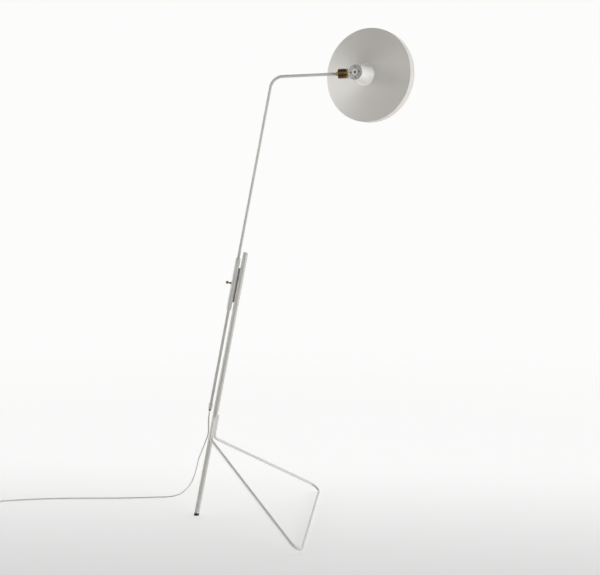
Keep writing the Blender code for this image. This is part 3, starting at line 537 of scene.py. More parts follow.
def drilled(piece, radius, foot, top, places, sides=32):
    """Cuts round holes through a piece, each along the Z of its place."""
    for place in places:
        outline = [(0.0, foot), (radius, foot), (radius, top), (0.0, top)]
        drill = turned("drill", outline, place, piece.data.materials[0], sides)
        cut = piece.modifiers.new("drill", "BOOLEAN")
        cut.operation = "DIFFERENCE"
        cut.object = drill
        bpy.context.view_layer.update()
        bored = bpy.data.meshes.new_from_object(piece.evaluated_get(bpy.context.evaluated_depsgraph_get()))
        piece.modifiers.clear()
        piece.data = bored
        bpy.data.objects.remove(drill)
    piece.data.shade_smooth()
    piece.data.set_sharp_from_angle(angle=math.radians(35))
    return piece


guide_sleeve = turned(
    "guide_sleeve_painted",
    eased(sleeve_outline(SLEEVE_BORE, SLEEVE_RADIUS, SLEEVE_FOOT, SLEEVE_TOP), 0.0004),
    rod,
    white_tube_paint,
)
drilled(guide_sleeve, SCREW_HOLE, 0.0, 0.02, [screw_place])
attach(guide_sleeve, "stand")
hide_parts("guide_sleeve")


# ---- sleeve bushes: turned nylon, one pressed into each end of the sleeve ----
# A thin flange shows at each end, and the arm runs in them.

natural_nylon = moulded("natural_nylon", (0.66, 0.63, 0.57, 1.0), 1500.0, 0.46)
BUSH_BORE = 0.00525
BUSH_SIDE = SLEEVE_BORE - GAP
BUSH_FLANGE = 0.0076
for side, end, outward in (("lower", SLEEVE_FOOT, -1), ("upper", SLEEVE_TOP, 1)):
    inward = end - outward * 0.016
    seat = end + outward * GAP
    face = end + outward * 0.0016
    outline = [(BUSH_BORE, inward), (BUSH_SIDE, inward), (BUSH_SIDE, seat)]
    outline += [(BUSH_FLANGE, seat), (BUSH_FLANGE, face), (BUSH_BORE, face)]
    bush = turned(f"nylon_bush_{side}", eased(outline, 0.0003), rod, natural_nylon, 64)
    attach(bush, "stand")
    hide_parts(f"sleeve_bush_{side}")


# ---- web plate: a strip of 3 mm steel on edge, welded between the post and the sleeve ----
# It keeps the two tubes parallel.

WEB_WIDTH = ROD_OFFSET - POST_RADIUS - SLEEVE_RADIUS - 2 * GAP
WEB_THICKNESS = 0.003
WEB_FOOT = 0.772
WEB_LENGTH = 0.122
web_middle = (-POST_RADIUS - GAP - WEB_WIDTH / 2, 0, WEB_FOOT + WEB_LENGTH / 2)
web_place = post @ Matrix.Translation(web_middle)


def rounded_block(width, depth, height, rounding, steps):
    """A bmesh block round the origin, its edges rounded."""
    block = bmesh.new()
    bmesh.ops.create_cube(block, size=1.0, matrix=Matrix.Diagonal((width, depth, height, 1.0)))
    bmesh.ops.bevel(
        block,
        geom=block.edges[:],
        offset=rounding,
        segments=steps,
        profile=0.5,
        affect="EDGES",
        material=-1,
    )
    return block


shape = rounded_block(WEB_WIDTH, WEB_THICKNESS, WEB_LENGTH, 0.0005, 3)
# The plate's paint is dark grey, far darker than the tubes' white: painted shade for the narrow gap between
# the post and the sleeve.
web_painted_shade = painted("web_plate_painted_shade", (0.27, 0.26, 0.24, 1.0), 1400.0, 0.5, 0.45)
web_plate = finished("web_plate_painted", shape, web_place, web_painted_shade)
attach(web_plate, "stand")
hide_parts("web_plate")
number = 0
for across in (-POST_RADIUS, SLEEVE_RADIUS - ROD_OFFSET):
    for side in (-1, 1):
        number += 1
        weld_bead(
            f"web_weld_{number}",
            post @ Vector((across, side * 0.0017, WEB_FOOT + 0.002)),
            post @ Vector((across, side * 0.0017, WEB_FOOT + WEB_LENGTH - 0.002)),
            (1, 0, 0),
            0.0009,
        )


# ---- clamp: a plain steel boss on the sleeve and a brass screw through it, with a ball for a head ----
# Turning the ball pushes a nylon pad against the arm.

def turned_metal_group():
    group, given, out = shader_group(
        "turned_metal",
        [("Vector", "vector"), ("Metal", "colour"), ("Tarnish", "colour")]
        + [("Age", "value"), ("Mark Scale", "value"), ("Gloss", "value")],
        [("Color", "colour"), ("Roughness", "value"), ("Height", "value")],
    )
    vector = given.outputs["Vector"]
    patches = noise(group, vector, 120.0, 5.0, 0.62, 0.8)
    fine = noise(group, vector, 900.0, 3.0, 0.6)
    tool = group.nodes.new("ShaderNodeTexWave")
    tool.bands_direction = "Z"
    tool.inputs["Distortion"].default_value = 1.2
    tool.inputs["Detail"].default_value = 2.0
    group.links.new(vector, tool.inputs["Vector"])
    group.links.new(given.outputs["Mark Scale"], tool.inputs["Scale"])
    patchy = stretched(group, patches, 0.30, 0.70, 0.15, 1.0)
    aged = sum_of(group, "MULTIPLY", patchy, given.outputs["Age"])
    colour = blended(group, aged, given.outputs["Metal"], given.outputs["Tarnish"])
    group.links.new(colour, out.inputs["Color"])
    rough = sum_of(group, "ADD", given.outputs["Gloss"], sum_of(group, "MULTIPLY", aged, 0.22))
    rough = sum_of(group, "ADD", rough, stretched(group, fine, 0.3, 0.7, -0.04, 0.05))
    group.links.new(rough, out.inputs["Roughness"])
    height = sum_of(group, "ADD", tool.outputs["Fac"], sum_of(group, "MULTIPLY", fine, 0.6))
    group.links.new(height, out.inputs["Height"])
    return group


turned_metal = turned_metal_group()


def bright_metal(name, metal, tarnish, age, gloss, place, mark_scale=1800.0, strength=0.12):
    made, tree, shader, where, bump = new_surface(name, metallic=1.0)
    values = {"Metal": metal, "Tarnish": tarnish, "Age": age, "Mark Scale": mark_scale, "Gloss": gloss}
    coated(tree, turned_metal, shader, bump, on_axis(tree, where, place), values, strength, 0.00005)
    return made


BRASS = (0.58, 0.39, 0.15, 1.0)
OLD_BRASS = (0.22, 0.13, 0.05, 1.0)
STEEL = (0.52, 0.51, 0.49, 1.0)
DULL_STEEL = (0.22, 0.20, 0.18, 1.0)
DARK_BRASS = (0.38, 0.26, 0.11, 1.0)
screw_brass = bright_metal("screw_brass", DARK_BRASS, OLD_BRASS, 0.75, 0.28, screw_place)
boss_steel = bright_metal("boss_steel", STEEL, DULL_STEEL, 0.5, 0.32, screw_place)

BOSS_FOOT = SLEEVE_RADIUS + GAP
BOSS_TOP = BOSS_FOOT + 0.004
boss = turned(
    "steel_boss",
    eased(sleeve_outline(SCREW_HOLE, 0.004, BOSS_FOOT, BOSS_TOP), 0.0004),
    screw_place,
    boss_steel,
    48,
)
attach(boss, "stand")
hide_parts("screw_boss")



def recoated(node, surface):
    """Gives a hidden plain piece its real surface."""
    materials = frame["nodes"][node].data.materials
    materials.clear()
    materials.append(surface)


recoated("pressure_pad", natural_nylon)

SCREW_RADIUS = 0.0025
KNOB_RADIUS = 0.0053
PAD_TOP = 0.0065
KNOB_CENTRE = BOSS_TOP + 0.0062 + KNOB_RADIUS * 0.85
SCREW_END = KNOB_CENTRE - KNOB_RADIUS * 0.2
SCREW_CORE = SCREW_RADIUS - 0.0003
thread = [(0.0, PAD_TOP + GAP), (SCREW_RADIUS - 0.0006, PAD_TOP + GAP)]
height = PAD_TOP + 0.0006
while height < BOSS_TOP + 0.0046:
    thread += [(SCREW_RADIUS - 0.0004, height), (SCREW_RADIUS, height + 0.0003)]
    thread += [(SCREW_RADIUS, height + 0.0004)]
    height += 0.0007
thread += [(SCREW_CORE, height), (SCREW_CORE, SCREW_END), (0.0, SCREW_END)]
thumb_screw = turned("thumb_screw_threaded", thread, screw_place, screw_brass, 40, 25)
KNOB_BORE = SCREW_RADIUS + GAP
start = math.acos(KNOB_BORE / KNOB_RADIUS)
ball = [
    (KNOB_RADIUS * math.cos(a), KNOB_CENTRE + KNOB_RADIUS * math.sin(a))
    for a in (-start + (math.radians(80) + start) * i / 24 for i in range(25))
]
knob = turned(
    "thumb_ball",
    [(0.0, SCREW_END + GAP), (KNOB_BORE, SCREW_END + GAP), *ball, (0.0, KNOB_CENTRE + KNOB_RADIUS)],
    screw_place,
    screw_brass,
    48,
)
for piece, node in ((thumb_screw, "thumb_screw"), (knob, "thumb_knob")):
    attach(piece, "thumb_screw")
    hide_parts(node)


# ---- arm: 10 mm steel tube bent level at its top, that slides and turns in the sleeve ----
# The lamp's wires run inside it.

ARM_RADIUS = 0.005
ARM_FOOT = 0.3830
ARM_DIRECTION = Vector(joints["barrel_turn"]["axis"]).normalized()
corner = rod @ Vector((0, 0, 1.569))
arm = frame_on(corner, ARM_DIRECTION, (0, 0, 1))
ARM_REACH = 0.2257
RING_LENGTH = 0.0052
BARREL_FLOOR = 0.004
KEEPER_LENGTH = 0.004
BARREL_START = ARM_REACH + RING_LENGTH + GAP
ARM_TIP = BARREL_START + BARREL_FLOOR + GAP + KEEPER_LENGTH + 0.001
arm_tube = bent_bar(
    "arm_tube_painted",
    [rod @ Vector((0, 0, ARM_FOOT)), corner, arm @ Vector((0, 0, ARM_TIP))],
    [0.045],
    ARM_RADIUS,
    white_tube_paint,
    32,
    24,
    0.001,
)
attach(arm_tube, "arm")
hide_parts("arm_tube")


# ---- stop collar: a painted steel ring with a grub screw, clamped near the arm's lower end ----
# It stops the arm from being pulled up out of the sleeve.

COLLAR_FOOT = 0.388
COLLAR_TOP = COLLAR_FOOT + 0.014
COLLAR_RADIUS = 0.007
GRUB_RADIUS = 0.0014
grub_place = frame_on(rod @ Vector((0, 0, (COLLAR_FOOT + COLLAR_TOP) / 2)), ACROSS, POST_AXIS)
collar = turned(
    "stop_collar_painted",
    eased(sleeve_outline(ARM_RADIUS + GAP, COLLAR_RADIUS, COLLAR_FOOT, COLLAR_TOP), 0.0007),
    rod,
    white_tube_paint,
)
drilled(collar, GRUB_RADIUS + GAP, 0.0, 0.014, [grub_place], 24)
grub_steel = bright_metal("grub_steel", STEEL, DULL_STEEL, 0.7, 0.34, grub_place)
grub = turned(
    "grub_screw_socketed",
    eased([(0.0, 0.0053), (GRUB_RADIUS, 0.0053), (GRUB_RADIUS, 0.0067), (0.0, 0.0067)], 0.0001),
    grub_place,
    grub_steel,
    24,
)
drilled(grub, 0.0007, 0.0059, 0.009, [grub_place], 6)
for piece, node, slot in ((collar, "stop_collar", "white_steel"), (grub, "collar_grub_screw", "bare_steel")):
    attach(piece, "arm")
    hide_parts(node)


# ---- cord gland: a black rubber nose in the arm's lower end that the flex comes out of ----
# It turns in the tube, so that the flex isn't twisted when the arm swings.

GLAND_HOLE = 0.0026
GLAND_NECK = 0.0036
GLAND_RADIUS = 0.0048
GLAND_SEAT = ARM_FOOT - GAP
GLAND_TIP = GLAND_SEAT - 0.0045
GLAND_TOP = ARM_FOOT + 0.012
nose = [(GLAND_HOLE, GLAND_TIP), (GLAND_NECK, GLAND_TIP), (0.0044, GLAND_TIP + 0.0014)]
nose += [(GLAND_RADIUS, ARM_FOOT - 0.0015), (GLAND_RADIUS, GLAND_SEAT), (GLAND_NECK, GLAND_SEAT)]
nose += [(GLAND_NECK, GLAND_TOP), (GLAND_HOLE, GLAND_TOP)]
gland = turned("rubber_gland", eased(nose, 0.0004), rod, black_rubber, 40)
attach(gland, "slider")
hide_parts("cord_gland")


# ---- cord: 5 mm white flex that hangs from the arm's lower end and lies on the floor ----
# It is one round two-core flex. What is left over is wound in a flat coil in two layers, with the
# plug beside it.

FLEX_RADIUS = 0.0025
hanging_route = [
    (0.0494, 0.0000, 0.3753),
    (0.0474, 0.0004, 0.3645),
    (0.0452, 0.0020, 0.3500),
    (0.0440, 0.0050, 0.3300),
    (0.0428, 0.0095, 0.3050),
    (0.0388, 0.0140, 0.2830),
    (0.0312, 0.0190, 0.2640),
    (0.0222, 0.0256, 0.2430),
    (0.0105, 0.0355, 0.2170),
    (-0.0034, 0.0520, 0.1860),
    (-0.0158, 0.0745, 0.1500),
    (-0.0300, 0.1010, 0.1160),
    (-0.0460, 0.1280, 0.0860),
    (-0.0640, 0.1530, 0.0600),
    (-0.0843, 0.1750, 0.0380),
    (-0.1075, 0.1920, 0.0200),
    (-0.1330, 0.2030, 0.0085),
    (-0.1600, 0.2060, 0.0036),
]
floor_route = [
    (-0.1900, 0.2035, 0.0026),
    (-0.2300, 0.1950, 0.0026),
    (-0.3200, 0.1780, 0.0026),
    (-0.4100, 0.1660, 0.0026),
    (-0.5000, 0.1560, 0.0026),
    (-0.5940, 0.1410, 0.0026),
    (-0.6900, 0.1170, 0.0026),
    (-0.7731, 0.0880, 0.0026),
]
COIL_MIDDLE = Vector((-0.847, 0.095, 0.0))
COIL_EDGE = 0.0343
COIL_TURNS = 5 + 110 / 360
STEP_TURNS = 0.5


def coil_point(turns):
    """Where the flex is after so many turns: inwards in the lower layer, up a step, and out in the upper."""
    one_layer = (COIL_TURNS - STEP_TURNS) / 2
    inward = min(turns, one_layer)
    outward = max(0.0, turns - one_layer - STEP_TURNS)
    rise = min(1.0, max(0.0, (turns - one_layer) / STEP_TURNS))
    reach = COIL_EDGE - 2 * FLEX_RADIUS * (inward - outward)
    height = 0.0026 + 2 * FLEX_RADIUS * rise * rise * (3 - 2 * rise)
    angle = math.radians(-70) - math.tau * turns
    return COIL_MIDDLE + Vector((reach * math.cos(angle), reach * math.sin(angle), height))


coil_route = [coil_point(COIL_TURNS * i / 128) for i in range(129)]
tail_route = [
    (-0.8814, 0.1075, 0.0075),
    (-0.8818, 0.1200, 0.0060),
    (-0.8832, 0.1330, 0.0056),
    (-0.8838, 0.1382, 0.0069),
    (-0.8826, 0.1466, 0.0069),
]


def smooth_line(route, step):
    """Points about a step apart on a smooth curve through the route's own points."""
    points = [Vector(point) for point in route]
    padded = [points[0] * 2 - points[1], *points, points[-1] * 2 - points[-2]]
    line = [points[0]]
    for p0, p1, p2, p3 in zip(padded, padded[1:], padded[2:], padded[3:]):
        pieces = max(1, round((p2 - p1).length / step))
        for i in range(1, pieces + 1):
            t = i / pieces
            spot = p1 * 2 + (p2 - p0) * t
            spot += (p0 * 2 - p1 * 5 + p2 * 4 - p3) * t**2
            spot += (p1 * 3 - p0 - p2 * 3 + p3) * t**3
            line.append(spot * 0.5)
    return line


def flex(name, line, radius, sides):
    """A round flex along a line, as one closed mesh."""
    curve = bpy.data.curves.new(name, "CURVE")
    curve.dimensions = "3D"
    curve.bevel_depth = radius
    curve.bevel_resolution = sides // 4
    curve.use_fill_caps = True
    spline = curve.splines.new("POLY")
    spline.points.add(len(line) - 1)
    for spot, point in zip(spline.points, line):
        spot.co = (*point, 1.0)
    guide = bpy.data.objects.new(name + "_line", curve)
    bpy.context.scene.collection.objects.link(guide)
    bpy.context.view_layer.update()
    shape = bpy.data.meshes.new_from_object(guide.evaluated_get(bpy.context.evaluated_depsgraph_get()))
    bpy.data.objects.remove(guide)
    shape.name = name
    shape.shade_smooth()
    made = bpy.data.objects.new(name, shape)
    bpy.context.scene.collection.objects.link(made)
    return made


cord_line = smooth_line(hanging_route + floor_route + coil_route + tail_route, 0.006)
white_flex = flex("white_flex", cord_line, FLEX_RADIUS, 12)

flex_plastic = moulded("flex_white", (0.70, 0.68, 0.64, 1.0), 1600.0, 0.46, 0.2)
white_flex.data.materials.clear()
white_flex.data.materials.append(flex_plastic)
recoated("inner_lead", flex_plastic)
recoated("holder_lead", flex_plastic)
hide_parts("cord_drop", "cord_run", "cord_coil", "cord_tail")
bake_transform(white_flex)


# ---- plug: white two-pin mains plug on the flex's end, with a ribbed strain relief ----
# Its body is moulded in one piece round the pins, with grip ribs on both faces.

PLUG_LENGTH = 0.034
PLUG_BACK = -PLUG_LENGTH / 2
plug = Matrix.Translation((-0.877, 0.186, 0.0069))
plug = plug @ Matrix.Rotation(math.radians(-8), 4, "Z") @ Matrix.Rotation(math.radians(-90), 4, "X")
PLUG_FACE = PLUG_LENGTH / 2
PLUG_WIDTH = 0.026
PLUG_DEPTH = 0.0136
PIN_RADIUS = 0.002
GRIP_FOOT = -0.0095
GRIP_PITCH = 0.0026
GRIP_REACH = 0.0075
RELIEF_END = PLUG_BACK - GAP
RELIEF_START = RELIEF_END - 0.022
relief_side = []
for rib in range(7):
    foot = RELIEF_START + 0.0012 + rib * 0.0029
    radius = 0.0030 + 0.0011 * rib / 6
    groove = radius - 0.0006
    relief_side += [(radius, foot), (radius, foot + 0.0018)]
    relief_side += [(groove, foot + 0.0021), (groove, foot + 0.0027)]
relief = turned(
    "plug_relief_ribbed",
    [(0.0, RELIEF_START), (0.0029, RELIEF_START), *relief_side, (0.0042, RELIEF_END), (0.0, RELIEF_END)],
    plug,
    white_plastic,
    32,
)
shape = rounded_block(PLUG_WIDTH, PLUG_DEPTH, PLUG_LENGTH, 0.0035, 6)
for rib in range(6):
    height = GRIP_FOOT + rib * GRIP_PITCH
    for edge in (height, height + GRIP_PITCH / 2):
        bmesh.ops.bisect_plane(
            shape,
            geom=shape.verts[:] + shape.edges[:] + shape.faces[:],
            dist=1e-6,
            plane_co=(0, 0, edge),
            plane_no=(0, 0, 1),
        )
for turn in (-1, 1):
    bmesh.ops.bisect_plane(
        shape,
        geom=shape.verts[:] + shape.edges[:] + shape.faces[:],
        dist=1e-6,
        plane_co=(turn * GRIP_REACH, 0, 0),
        plane_no=(1, 0, 0),
    )
grips = []
for face in shape.faces:
    middle = face.calc_center_median()
    across = abs(middle.x) < GRIP_REACH and abs(face.normal.y) > 0.9
    step = (middle.z - GRIP_FOOT) / GRIP_PITCH
    if across and 0 < step < 6 and step % 1 < 0.5:
        grips.append(face)
bmesh.ops.inset_individual(shape, faces=grips, thickness=0.00025, depth=-0.0006)
plug_body = finished("plug_body_moulded", shape, plug, white_plastic)
pin_brass = bright_metal("pin_brass", (0.70, 0.55, 0.30, 1.0), OLD_BRASS, 0.35, 0.22, plug)
pins = []
for number, side in ((1, -1), (2, 1)):
    tip = PLUG_FACE + 0.019
    outline = [(0.0, PLUG_FACE + GAP), (PIN_RADIUS, PLUG_FACE + GAP), (PIN_RADIUS, tip - 0.0014)]
    outline += [(PIN_RADIUS - 0.0003, tip - 0.0006), (PIN_RADIUS / 2, tip - 0.0001), (0.0, tip)]
    place = plug @ Matrix.Translation((side * 0.0093, 0, 0))
    pins.append(turned(f"plug_pin_round_{number}", outline, place, pin_brass, 32))
for piece, node, slot in (
    (relief, "plug_relief", "white_plastic"),
    (plug_body, "plug_body", "white_plastic"),
    (pins[0], "plug_pin_1", "brass"),
    (pins[1], "plug_pin_2", "brass"),
):
    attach(piece, "stand")
    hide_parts(node)


# ---- arm ring: a narrow polished brass ring, pressed onto the arm before the knurled barrel ----
# It hides the end of the barrel's bore.

joint_brass = bright_metal("joint_brass", BRASS, OLD_BRASS, 0.30, 0.24, arm)
arm_ring = turned(
    "arm_ring_polished",
    eased(sleeve_outline(ARM_RADIUS + GAP, 0.007, ARM_REACH, ARM_REACH + RING_LENGTH), 0.0007),
    arm,
    joint_brass,
    64,
)
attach(arm_ring, "arm")
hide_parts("arm_ring")


# ---- barrel: turned and knurled brass, gone brown, that turns on the arm and holds the ball ----
# The diamond knurl stands between two plain chamfers. Inside are a steel keeper, a spring and
# a nylon seat.

BARREL_RADIUS = 0.016
BARREL_CHAMFER = 0.0018
BARREL_END = BARREL_START + 0.0288
BARREL_BORE = ARM_RADIUS + GAP
CAP_START = BARREL_END + GAP
MOUTH = CAP_START + 0.0057
BALL_RADIUS = 0.011
SEAT_SPHERE = BALL_RADIUS + 0.0002
MOUTH_RADIUS = 0.009
BALL_AT = MOUTH - math.sqrt(SEAT_SPHERE**2 - MOUTH_RADIUS**2) - 0.00133
CAVITY = BALL_RADIUS + 0.001
CAVITY_STEP = BALL_AT - 0.0126
CAVITY_NARROW = CAVITY - 0.0025
KNURL_STEP = 0.00055
KNURL_SIDES = 182
KNURL_ROWS = 44
KNURL_DEPTH = 0.00042
BROWN_BRASS = (0.38, 0.25, 0.115, 1.0)
BLACK_BRASS = (0.12, 0.08, 0.045, 1.0)
knurl_foot = BARREL_START + BARREL_CHAMFER + 0.0009
brown_brass = bright_metal("brown_brass", BROWN_BRASS, BLACK_BRASS, 0.8, 0.36, arm, 1800.0, 0.2)
outline = [(BARREL_BORE, BARREL_START), (BARREL_RADIUS - BARREL_CHAMFER, BARREL_START)]
outline += [(BARREL_RADIUS, BARREL_START + BARREL_CHAMFER)]
outline += [(BARREL_RADIUS, knurl_foot + row * KNURL_STEP) for row in range(KNURL_ROWS + 1)]
outline += [(BARREL_RADIUS, BARREL_END - 0.0006), (BARREL_RADIUS - 0.0006, BARREL_END)]
outline += [(CAVITY, BARREL_END), (CAVITY, CAVITY_STEP), (CAVITY_NARROW, CAVITY_STEP)]
outline += [(CAVITY_NARROW, BARREL_START + BARREL_FLOOR), (BARREL_BORE, BARREL_START + BARREL_FLOOR)]
barrel = turned("joint_barrel_knurled", outline, arm, brown_brass, KNURL_SIDES)
to_barrel = arm.inverted()
for vert in barrel.data.vertices:
    spot = to_barrel @ vert.co
    row = round((spot.z - knurl_foot) / KNURL_STEP)
    column = round(math.atan2(spot.y, spot.x) / math.tau * KNURL_SIDES)
    if spot.xy.length > BARREL_RADIUS - 1e-5 and 0 < row < KNURL_ROWS and (row + column) % 2:
        spot.xy *= 1 - KNURL_DEPTH / BARREL_RADIUS
        vert.co = arm @ spot
barrel.data.set_sharp_from_angle(angle=math.radians(30))
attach(barrel, "barrel")
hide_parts("joint_barrel")

start = math.asin((CAP_START - BALL_AT) / SEAT_SPHERE)
end = math.acos(MOUTH_RADIUS / SEAT_SPHERE)
cup = [
    (SEAT_SPHERE * math.cos(a), BALL_AT + SEAT_SPHERE * math.sin(a))
    for a in (start + (end - start) * i / 12 for i in range(13))
]
rim = [(MOUTH_RADIUS + 0.0004, MOUTH - 0.0004), (MOUTH_RADIUS + 0.0013, MOUTH)]
rim += [(BARREL_RADIUS - BARREL_CHAMFER, MOUTH), (BARREL_RADIUS - 0.0005, MOUTH - 0.0012)]
rim += [(BARREL_RADIUS, MOUTH - BARREL_CHAMFER), (BARREL_RADIUS, CAP_START)]
cap = turned("barrel_cap_polished", cup + rim, arm, joint_brass, 96)
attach(cap, "barrel")
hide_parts("barrel_cap")

spring_steel = bright_metal("spring_steel", STEEL, DULL_STEEL, 0.4, 0.3, arm)
inner_surfaces = {"arm_keeper": spring_steel, "seat_spring": spring_steel, "ball_seat": natural_nylon}
for node, surface in inner_surfaces.items():
    recoated(node, surface)


# ---- ball stud: a brass ball with a hollow threaded stem that carries the shade's neck ----
# The stem passes through the neck's wall, and a thin steel nut inside holds it there.

BALL = arm @ Vector((0, 0, BALL_AT))
SHADE_TURN = math.radians(23.9)
SHADE_RISE = math.radians(4.55)
SHADE_AXIS = Vector(
    (
        math.sin(SHADE_TURN) * math.cos(SHADE_RISE),
        math.cos(SHADE_TURN) * math.cos(SHADE_RISE),
        math.sin(SHADE_RISE),
    )
)
STUD_AXIS = (ARM_DIRECTION - SHADE_AXIS * ARM_DIRECTION.dot(SHADE_AXIS)).normalized()
STUD_REACH = 0.042
STUD_RADIUS = 0.004
STUD_BORE = 0.002
stud = frame_on(BALL, STUD_AXIS, SHADE_AXIS)
head = frame_on(BALL + STUD_AXIS * STUD_REACH, SHADE_AXIS, STUD_AXIS)
NECK_RADIUS = 0.027
NECK_WALL = 0.0013
SHOULDER_END = STUD_REACH - NECK_RADIUS - 0.0008
SHOULDER_START = SHOULDER_END - 0.002
SHOULDER_RADIUS = 0.006
STUD_TIP = 0.0235
THREAD_PITCH = 0.0008
stud_brass = bright_metal("stud_brass", BRASS, OLD_BRASS, 0.35, 0.22, stud)
first = math.radians(-60)
last = math.pi / 2 - math.asin(STUD_RADIUS / BALL_RADIUS)
sphere = [
    (BALL_RADIUS * math.cos(a), BALL_RADIUS * math.sin(a))
    for a in (first + (last - first) * i / 36 for i in range(37))
]
stem = [(STUD_RADIUS, SHOULDER_START), (SHOULDER_RADIUS, SHOULDER_START)]
stem += [(SHOULDER_RADIUS, SHOULDER_END), (STUD_RADIUS, SHOULDER_END)]
height = SHOULDER_END + THREAD_PITCH
while height < STUD_TIP - 0.0007:
    stem += [(STUD_RADIUS, height), (STUD_RADIUS - 0.00035, height + 0.00035)]
    stem += [(STUD_RADIUS, height + 0.0007)]
    height += THREAD_PITCH
stem += [(STUD_RADIUS, STUD_TIP), (STUD_BORE, STUD_TIP)]
outline = [(STUD_BORE, BALL_RADIUS * math.sin(first)), *sphere, *stem]
ball_stud = turned("ball_stud_turned", outline, stud, stud_brass, 72)
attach(ball_stud, "ball")
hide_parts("ball_stud")

NUT_FACE = STUD_REACH - NECK_RADIUS + NECK_WALL + 0.0026
NUT_RADIUS = 0.0065
NUT_THICKNESS = 0.0035
nut_steel = bright_metal("nut_steel", STEEL, DULL_STEEL, 0.45, 0.3, stud)
shape = bmesh.new()
bmesh.ops.create_cone(
    shape,
    cap_ends=True,
    segments=6,
    radius1=NUT_RADIUS,
    radius2=NUT_RADIUS,
    depth=NUT_THICKNESS,
    matrix=Matrix.Translation((0, 0, NUT_FACE + NUT_THICKNESS / 2)),
)
bmesh.ops.bevel(
    shape,
    geom=shape.edges[:],
    offset=0.0003,
    segments=2,
    profile=0.5,
    affect="EDGES",
    material=-1,
)
stud_nut = finished("stud_nut_hexagon", shape, stud, nut_steel)
drilled(stud_nut, STUD_RADIUS + GAP, 0.0, 2 * STUD_REACH, [stud], 40)
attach(stud_nut, "ball")
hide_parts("stud_nut")


# ---- neck: spun aluminium tube that flares to a flange against the shade, sprayed white ----
# The ball's stem goes through a hole in its side, and a ledge inside carries the vent plate.

NECK_BACK = 0.0142
FLANGE_FRONT = 0.0785 - NECK_BACK
PLATE_BACK = -NECK_BACK + 0.0008
PLATE_THICKNESS = 0.002
LEDGE = PLATE_BACK + PLATE_THICKNESS + GAP
NECK_INNER = NECK_RADIUS - NECK_WALL
NECK_NARROW = NECK_INNER - 0.0011


def spun_paint_group():
    """Sprayed paint over spun metal: faint rings from the spinning tool, and a cleaner white inside."""
    group, given, out = shader_group(
        "spun_paint",
        [("Vector", "vector"), ("Facing", "vector"), ("Paint", "colour"), ("Inside", "colour")]
        + [("Peel Scale", "value"), ("Ring Scale", "value"), ("Rubbing", "value"), ("Gloss", "value")],
        [("Color", "colour"), ("Roughness", "value"), ("Height", "value")],
    )
    vector = given.outputs["Vector"]
    parts = group.nodes.new("ShaderNodeSeparateXYZ")
    group.links.new(vector, parts.inputs["Vector"])
    flat = group.nodes.new("ShaderNodeCombineXYZ")
    group.links.new(parts.outputs["X"], flat.inputs["X"])
    group.links.new(parts.outputs["Y"], flat.inputs["Y"])
    reach = group.nodes.new("ShaderNodeVectorMath")
    reach.operation = "LENGTH"
    group.links.new(flat.outputs["Vector"], reach.inputs[0])
    outward = group.nodes.new("ShaderNodeVectorMath")
    outward.operation = "NORMALIZE"
    group.links.new(flat.outputs["Vector"], outward.inputs[0])
    across = group.nodes.new("ShaderNodeVectorMath")
    across.operation = "DOT_PRODUCT"
    group.links.new(outward.outputs["Vector"], across.inputs[0])
    group.links.new(given.outputs["Facing"], across.inputs[1])
    forward = group.nodes.new("ShaderNodeSeparateXYZ")
    group.links.new(given.outputs["Facing"], forward.inputs["Vector"])
    turned_in = sum_of(group, "SUBTRACT", forward.outputs["Z"], across.outputs["Value"])
    inside = stretched(group, turned_in, -0.05, 0.05, 0.0, 1.0)
    clouds = noise(group, vector, 6.0, 3.0, 0.55)
    marks = noise(group, vector, 42.0, 6.0, 0.72, 0.6)
    peel = noise(group, vector, given.outputs["Peel Scale"], 2.0, 0.5)
    dust = noise(group, vector, 210.0, 4.0, 0.6)
    yellowed = stretched(group, clouds, 0.35, 0.65, 0.0, 0.10)
    warm = blended(group, yellowed, given.outputs["Paint"], (0.60, 0.56, 0.48, 1.0))
    worn = stretched(group, marks, 0.68, 0.76, 0.0, 1.0)
    rubbed = sum_of(group, "MULTIPLY", worn, given.outputs["Rubbing"])
    outer = blended(group, rubbed, warm, (0.45, 0.43, 0.40, 1.0))
    group.links.new(blended(group, inside, outer, given.outputs["Inside"]), out.inputs["Color"])
    rough = sum_of(group, "ADD", given.outputs["Gloss"], stretched(group, dust, 0.3, 0.7, -0.03, 0.05))
    rough = sum_of(group, "ADD", rough, sum_of(group, "MULTIPLY", rubbed, 0.2))
    group.links.new(rough, out.inputs["Roughness"])
    along = sum_of(group, "ADD", reach.outputs["Value"], sum_of(group, "MULTIPLY", parts.outputs["Z"], 0.7))
    wander = sum_of(group, "MULTIPLY", noise(group, vector, 9.0, 2.0, 0.5), 0.0012)
    phase = sum_of(group, "MULTIPLY", sum_of(group, "ADD", along, wander), given.outputs["Ring Scale"])
    rings = sum_of(group, "MULTIPLY", sum_of(group, "SINE", phase, 0.0), 0.5)
    height = sum_of(group, "ADD", rings, sum_of(group, "MULTIPLY", peel, 0.7))
    group.links.new(height, out.inputs["Height"])
    return group


spun_paint = spun_paint_group()


def spun(name, paint, ring_scale, rubbing, gloss):
    made, tree, shader, where, bump = new_surface(name)
    values = {"Paint": paint, "Inside": (0.78, 0.77, 0.74, 1.0), "Peel Scale": 1300.0}
    values.update({"Ring Scale": ring_scale, "Rubbing": rubbing, "Gloss": gloss})
    centred = on_axis(tree, where, head)
    coat = coated(tree, spun_paint, shader, bump, centred, values, 0.10, 0.0002)
    turn = tree.nodes.new("ShaderNodeMapping")
    turn.vector_type = "TEXTURE"
    turn.inputs["Rotation"].default_value = head.to_euler()
    tree.links.new(tree.nodes["Texture Coordinate"].outputs["Normal"], turn.inputs["Vector"])
    tree.links.new(turn.outputs["Vector"], coat.inputs["Facing"])
    shader.inputs["Specular IOR Level"].default_value = 0.8
    shader.inputs["Coat Weight"].default_value = 0.4
    shader.inputs["Coat Roughness"].default_value = 0.36
    return made
